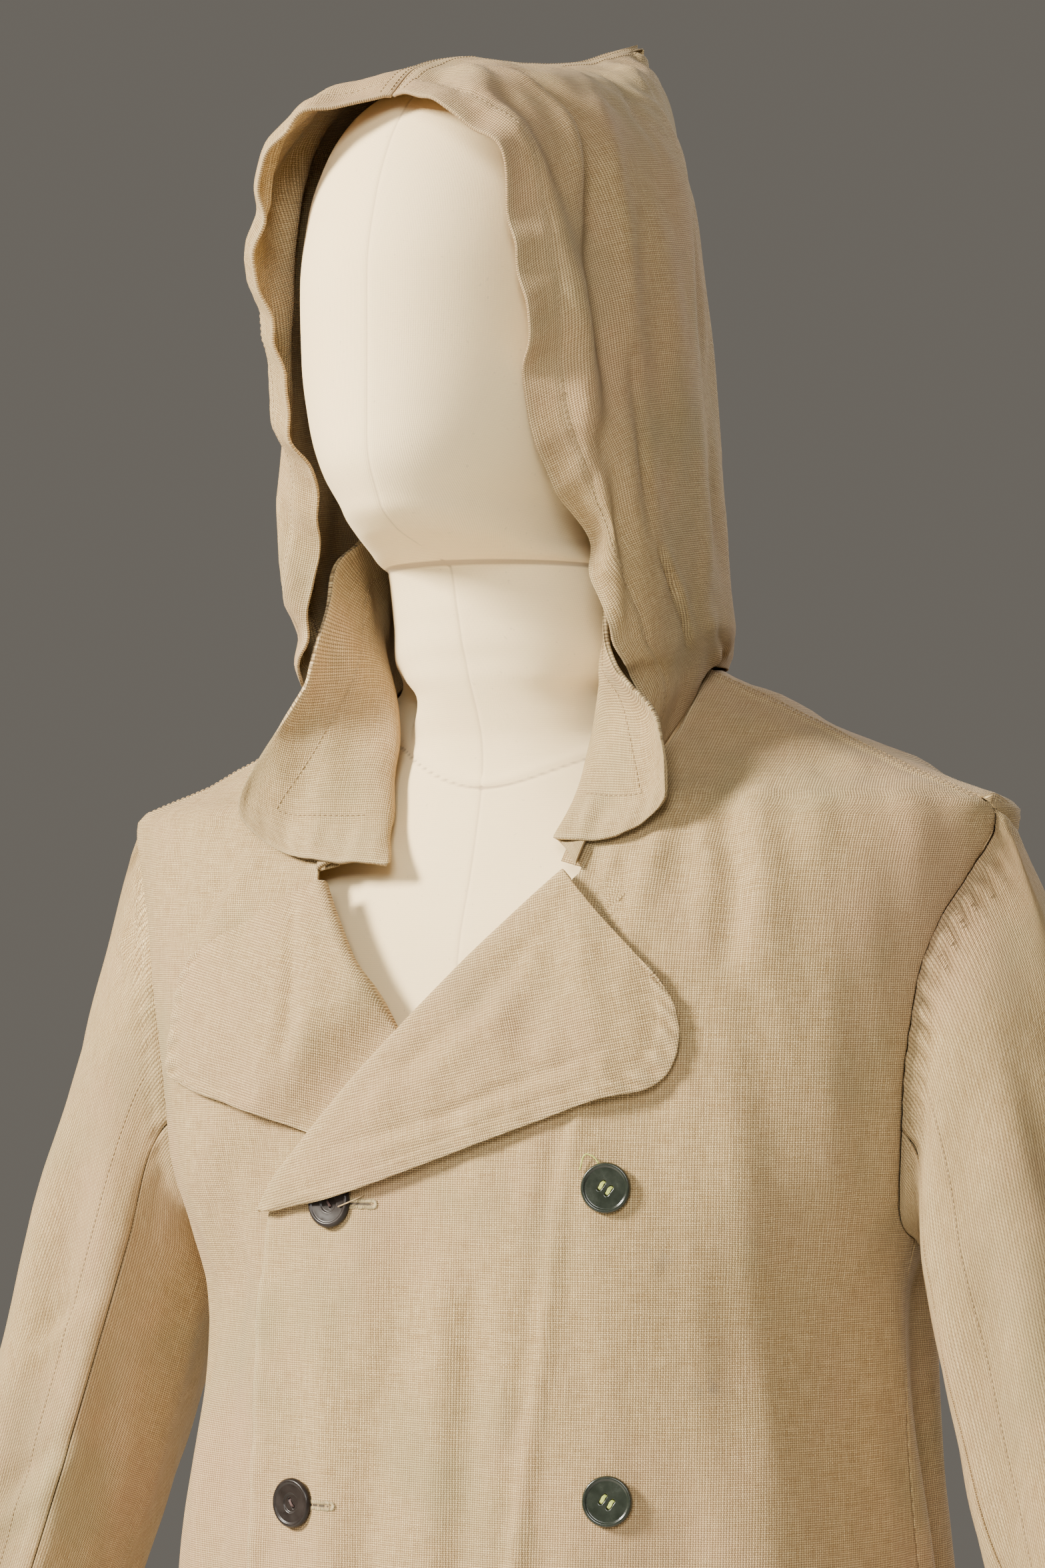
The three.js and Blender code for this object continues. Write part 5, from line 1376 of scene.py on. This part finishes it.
for side_name, side in (("left", 1), ("right", -1)):
    flip = np.array([side, 1, 1])
    seam, out_there, hole = into_armhole(np.linspace(-88, 268, 240))
    runs = [(seam * flip, out_there * flip, hole * flip, 8.0, 0.9)]
    runs.append(((seam + out_there * 1.3) * flip, out_there * flip, hole * flip, 0.9, 0.9))
    runs.append((*neck_frame(np.linspace(0.84, 0.995, 40), side), 2.0, 12.0))
    z = np.linspace(hem + 6, underarm - 6, 170)
    across_seam = unit(body(91.0 * side, z) - body(89.0 * side, z))
    runs.append((body(90.0 * side, z), body_normal(90.0 * side, z), across_seam, 6.0, 6.0))
    z = np.linspace(shoulder_point + 3, neck_height - 8, 60)
    low = side * (shoulder_seam - 1.0)
    high = side * (shoulder_seam + 1.0)
    runs.append((body(float(side * shoulder_seam), z), body_normal(float(side * shoulder_seam), z),
                 unit(body(high, z) - body(low, z)), 5.0, 5.0))
    for turn in (float(front_seam_turn), float(back_seam_turn)):
        t = np.linspace(0.03, 0.985, 150)
        before = sleeve_point(turn - 1.5, t)
        after = sleeve_point(turn + 1.5, t)
        middle = sleeve_point(turn, t)
        out_there = unit(np.cross(after - before, np.gradient(middle, axis=0)))
        axis = ring_centre(np.clip((t - cap_share) / (1 - cap_share), 0, 1))
        away = middle - axis
        out_there = np.where(np.sum(out_there * away, -1, keepdims=True) < 0, -out_there, out_there)
        runs.append((middle * flip, out_there * flip, unit(after - before) * flip, 5.0, 5.0))
    turned_in("turned_in_edges_" + side_name, runs)

v = np.linspace(0.02, 1, 90)
top_line = curve([r[0] for r in hood_ribs], [r[2][0] for r in hood_ribs])(v)
u = np.linspace(0.01, 0.97, 120)
back_line = curve(rib_places, hood_ribs[-1][2])(np.minimum(u, 0.94))
back_line = back_line[u <= 0.94]
top_line[:, 0] = 0
back_line[:, 0] = 0


def hood_line(line):
    ahead = unit(np.gradient(line, axis=0))
    outward = np.stack([0 * ahead[:, 0], -ahead[:, 2], ahead[:, 1]], -1)
    outward = np.where(np.sum(outward * (line - np.array([0, -40, 1690])), -1, keepdims=True) < 0,
                       -outward, outward)
    return line, outward, np.tile([1.0, 0, 0], (len(line), 1)), 5.0, 5.0


turned_in("turned_in_edges_hood", [hood_line(top_line[:-2]), hood_line(back_line[2:])])

# The buttons and buttonholes
# Eight buttons in two columns. Those in the wearer's left column are glossy dark green-black with two
# slanting slots and are sewn on with green thread. The others are plain dark brown-black with a sunken
# middle and two small holes, and come up through buttonholes that are worked round with thread.
# A thin dark strip in each buttonhole is painted shadow of its opening.
button_columns = {
    "left": [(91, 1299), (93, 1151), (95, 1003), (97, 855)],
    "right": [(-57, 1289), (-77, 1142), (-79, 995), (-80, 848)],
}
button_radius = 12.2


def seat(x, z):
    """The directions at a place on the body: outward, sideways and upward."""
    n = body_normal(angle_at_x(z, x), z)
    sideways = unit(np.cross([0, 0, 1], n))
    return n, sideways, np.cross(n, sideways)


def button_face(r, a, column):
    """The height of a button's front at a radius and an angle."""
    if column == "left":
        top = 3.0 - 0.55 * ease(r, 10.6, 9.9) - 1.5 * ease(r, 11.2, 12.4) ** 2
        tilt = math.radians(52)
        u = r * np.cos(a) * math.cos(tilt) + r * np.sin(a) * math.sin(tilt)
        v = -r * np.cos(a) * math.sin(tilt) + r * np.sin(a) * math.cos(tilt)
        slot = np.hypot(np.maximum(np.abs(u) - 1.9, 0), np.abs(v) - 2.2)
        return top - 1.7 * ease(slot, 1.2, 0.8)
    top = 3.0 - 0.5 * ease(r, 10.2, 9.4) - 0.7 * ease(r, 4.9, 4.3) - 1.4 * ease(r, 10.6, 12.4) ** 2
    top = top + 0.35 * ease(r, 4.6, 9.8)
    tilt = math.radians(-60)
    u = r * np.cos(a) * math.cos(tilt) + r * np.sin(a) * math.sin(tilt)
    v = -r * np.cos(a) * math.sin(tilt) + r * np.sin(a) * math.cos(tilt)
    hole = np.hypot(np.abs(u) - 2.1, v)
    return top - 1.3 * ease(hole, 1.05, 0.7)


def button_mesh(name, centre, n, sideways, up, column):
    sides = 84
    rings = np.concatenate([np.linspace(0.25, 10.4, 36), np.linspace(10.8, button_radius, 7)])
    turn = np.linspace(0, 2 * math.pi, sides, endpoint=False)
    rows = [(r + 0 * turn, button_face(r, turn, column)) for r in rings]
    rows += [(button_radius + 0 * turn, 1.0 + 0 * turn), (11.9 + 0 * turn, 0.35 + 0 * turn),
             (11.2 + 0 * turn, 0 * turn), (5.0 + 0 * turn, 0 * turn)]
    points = []
    for r, h in rows:
        for k in range(sides):
            points.append(centre + sideways * (r[k] * math.cos(turn[k])) + up * (r[k] * math.sin(turn[k]))
                          + n * h[k])
    points.append(centre + n * button_face(np.float64(0), np.float64(0), column))
    points.append(np.array(centre))
    faces = []
    for i in range(len(rows) - 1):
        for k in range(sides):
            m = (k + 1) % sides
            faces.append((i * sides + k, (i + 1) * sides + k, (i + 1) * sides + m, i * sides + m))
    last = (len(rows) - 1) * sides
    for k in range(sides):
        m = (k + 1) % sides
        faces.append((len(points) - 2, k, m))
        faces.append((len(points) - 1, last + m, last + k))
    return add_mesh(name, points, faces)


def strand(points, faces, path, radius, sides=7):
    """A thread along a path, round and closed at both ends."""
    path = np.asarray(path, float)
    ahead = unit(np.gradient(path, axis=0))
    reference = np.array([0.31, 0.52, 0.79])
    across = unit(np.cross(ahead, reference))
    third = np.cross(ahead, across)
    first = len(points)
    for i in range(len(path)):
        for k in range(sides):
            a = 2 * math.pi * k / sides
            points.append(path[i] + (across[i] * math.cos(a) + third[i] * math.sin(a)) * radius)
    for i in range(len(path) - 1):
        for k in range(sides):
            m = (k + 1) % sides
            low = first + i * sides
            faces.append((low + k, low + m, low + sides + m, low + sides + k))
    faces.append(tuple(first + k for k in range(sides - 1, -1, -1)))
    faces.append(tuple(first + (len(path) - 1) * sides + k for k in range(sides)))


glossy = two_tone("button_green_black", (130.0, 3.0, 0.6), (0.006, 0.008, 0.006), (0.022, 0.028, 0.018),
                  (0.16, 0.30), {"Specular IOR Level": 0.55})
dull = two_tone("button_brown_black", (130.0, 3.0, 0.6), (0.007, 0.005, 0.004), (0.022, 0.016, 0.013),
                (0.26, 0.42), {"Specular IOR Level": 0.3})
green_thread = two_tone("button_thread_green", (900.0, 1.0), (0.30, 0.36, 0.06), (0.52, 0.58, 0.14), 0.75)
olive_thread = two_tone("buttonhole_thread_olive", (700.0, 2.0), (0.20, 0.145, 0.060), (0.52, 0.42, 0.235),
                        0.85)
brown_thread = two_tone("button_thread_brown", (900.0, 1.0), (0.055, 0.028, 0.026), (0.12, 0.07, 0.062), 0.8)
slit_shadow_paint = two_tone("buttonhole_shadow", (400.0, 2.0), (0.035, 0.026, 0.016), (0.075, 0.055, 0.036), 0.95)

left_points = left_outer.reshape(-1, 3)
thread_points, thread_faces = [], []
worked_points, worked_faces = [], []
slit_points, slit_faces = [], []
dark_points, dark_faces = [], []
wisp_points, wisp_faces = [], []


def lying_on(points, n):
    """Points moved along n until they lie on the left front."""
    moved = []
    for p in np.asarray(points, float):
        off = left_points - p
        along = off @ n
        away = np.linalg.norm(off - along[:, None] * n, axis=1)
        nearest = np.argsort(np.where(np.abs(along) < 30, away, 1e6))[:4]
        weight = 1 / (away[nearest] + 0.05)
        moved.append(p + n * (along[nearest] @ weight / weight.sum()))
    return np.array(moved)


for column, places in button_columns.items():
    for i, (x, z) in enumerate(places):
        node = "button_%s_%d" % (column, i + 1)
        n, sideways, up = seat(x, z)
        low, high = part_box(node)
        middle = np.array([(low[c] + high[c]) * 500 for c in range(3)])
        base = middle - n * 1.5
        off = left_points - base
        away = np.linalg.norm(off - (off @ n)[:, None] * n, axis=1)
        under = (away < button_radius) & (np.abs(off @ n) < 30)
        base = base + n * (np.max((off @ n)[under]) + 0.15)
        lean = 0.05 * math.sin(2.3 * i + (0 if column == "left" else 1.4))
        n = unit(n + lean * up + 0.03 * math.cos(1.7 * i) * sideways)
        sideways = unit(np.cross(up, n))
        up = np.cross(n, sideways)
        spin = 0.12 * math.sin(1.9 * i + 0.5)
        side_turned = sideways * math.cos(spin) + up * math.sin(spin)
        up_turned = np.cross(n, side_turned)
        button = button_mesh("button_piece_%s_%d" % (column, i + 1), base, n, side_turned, up_turned, column)
        button.data.materials.append(glossy if column == "left" else dull)
        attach(button, "root")
        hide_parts(node)
        if column == "left":
            tilt = math.radians(52)
            along = side_turned * math.cos(tilt) + up_turned * math.sin(tilt)
            beside = np.cross(n, along)
            for middle_v in (-2.2, 2.2):
                for k in (-0.55, 0.0, 0.55):
                    path = []
                    for t in np.linspace(-1, 1, 13):
                        rise = 2.45 - 1.3 * t**4
                        sway = middle_v + k + 0.12 * math.sin(4 * t + k)
                        path.append(base + along * 2.3 * t + beside * sway + n * rise)
                    strand(thread_points, thread_faces, path, 0.34)
            if i == 0:
                bend = curve([0, 0.2, 0.45, 0.6, 0.8, 1],
                             [(-12.8, 8.4), (-12.0, 11.2), (-10.8, 14.9), (-9.2, 16.0),
                                                           (-6.4, 15.0), (-3.4, 11.6)])(np.linspace(0, 1, 30))
                loop = [base + sideways * p + up * q + n * (0.7 + 0.9 * math.sin(math.pi * t))
                        for (p, q), t in zip(bend, np.linspace(0, 1, 30))]
                strand(thread_points, thread_faces, loop, 0.36)
        else:
            tilt = math.radians(-60)
            along = side_turned * math.cos(tilt) + up_turned * math.sin(tilt)
            for k in (-0.3, 0.3):
                path = [base + along * 2.1 * t + np.cross(n, along) * k + n * (2.25 - 0.9 * t**4)
                        for t in np.linspace(-1, 1, 11)]
                strand(dark_points, dark_faces, path, 0.3)
            # A thin dark strip lies along each slit: painted shadow of the opening.
            slit = [base + sideways * s for s in np.linspace(-4, 25, 34)]
            slit = lying_on(slit, n) + n * 0.12
            for s in range(33):
                half = 0.42 * min(1, s / 3, (32 - s) / 3) + 0.04
                first = len(slit_points)
                for q in (slit[s], slit[s + 1]):
                    slit_points += [q - up * half, q + up * half]
                slit_faces.append((first, first + 2, first + 3, first + 1))
            count = 44
            marks_at = np.linspace(0, 1, count)
            for row_side in (-1, 1):
                at = lying_on([base + sideways * (-4 + 29 * t) for t in marks_at], n)
                for k in range(count):
                    start = at[k] + up * row_side * 0.45 + n * 0.1
                    wild = 0.3 * math.sin(7.1 * k + i)
                    end = at[k] + up * row_side * (2.6 + wild)
                    end = end + sideways * 0.15 * math.sin(3.3 * k) + n * 0.05
                    add_stitch(worked_points, worked_faces, start, end, n, 0.34)
            for k in range(9):
                a = math.radians(-80 + 20 * k)
                tip = lying_on([base + sideways * 25.0], n)[0]
                ray = sideways * math.cos(a) + up * math.sin(a)
                add_stitch(worked_points, worked_faces, tip + ray * 0.5 + n * 0.1,
                           tip + ray * 2.5 + n * 0.05, n, 0.34)
            if i == 0:
                tip = lying_on([base + sideways * 22.0], n)[0]
                wisp = [base + sideways * (7.2 + 13.4 * t) + up * (-1.8 + 4.2 * t + 2.4 * t * t)
                        + n * (3.6 - 2.6 * ease(t, 0.25, 0.95)) for t in np.linspace(0, 1, 20)]
                strand(wisp_points, wisp_faces, wisp, 0.36)

for part_name, points, faces, material, slot in (
        ("button_threads", thread_points, thread_faces, green_thread, "button_dark"),
        ("button_threads_dark", dark_points, dark_faces, brown_thread, "button_dark"),
        ("buttonhole_stitches", worked_points, worked_faces, olive_thread, "linen"),
        ("loose_thread_end", wisp_points, wisp_faces, sewing, "linen"),
        ("buttonhole_slit_shadows", slit_points, slit_faces, slit_shadow_paint, "linen")):
    part = add_mesh(part_name, points, faces)
    part.data.materials.append(material)
    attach(part, "root")

# The floor and the lights
# A plain pale floor and plain studio light: a soft warm light from the front left, a weaker one from
# the front right and one behind, in a plain warm grey surrounding.
floor_mesh = add_mesh("floor", [(5500 * math.cos(a), 5500 * math.sin(a), -0.5)
                                for a in np.linspace(0, 2 * math.pi, 96, endpoint=False)], [tuple(range(96))])
floor_mesh.data.materials.append(
    two_tone("floor_pale", (3.0, 3.0), (0.60, 0.58, 0.54), (0.64, 0.62, 0.58), 0.9))

studio = bpy.data.worlds.new("studio")
studio.use_nodes = True
studio.node_tree.nodes["Background"].inputs["Color"].default_value = (0.150, 0.138, 0.120, 1)
studio.node_tree.nodes["Background"].inputs["Strength"].default_value = 1.0
bpy.context.scene.world = studio
for name, place, size, watts, colour in (
        ("key", (-2.0, -2.5, 3.0), 0.8, 505, (1.0, 0.935, 0.83)),
        ("fill", (1.4, -3.4, 2.7), 1.2, 135, (0.985, 0.965, 0.93)),
        ("behind", (0.3, 3.0, 2.7), 1.9, 100, (1.0, 0.96, 0.90))):
    lamp = bpy.data.lights.new(name, "AREA")
    lamp.energy = watts
    lamp.size = size
    lamp.color = colour
    light = bpy.data.objects.new(name, lamp)
    light.location = place
    aim = np.array([0, 0, 1.35]) - np.array(place)
    flat = math.hypot(aim[0], aim[1])
    light.rotation_euler = (math.atan2(flat, -aim[2]), 0, math.atan2(-aim[0], aim[1]))
    bpy.context.scene.collection.objects.link(light)
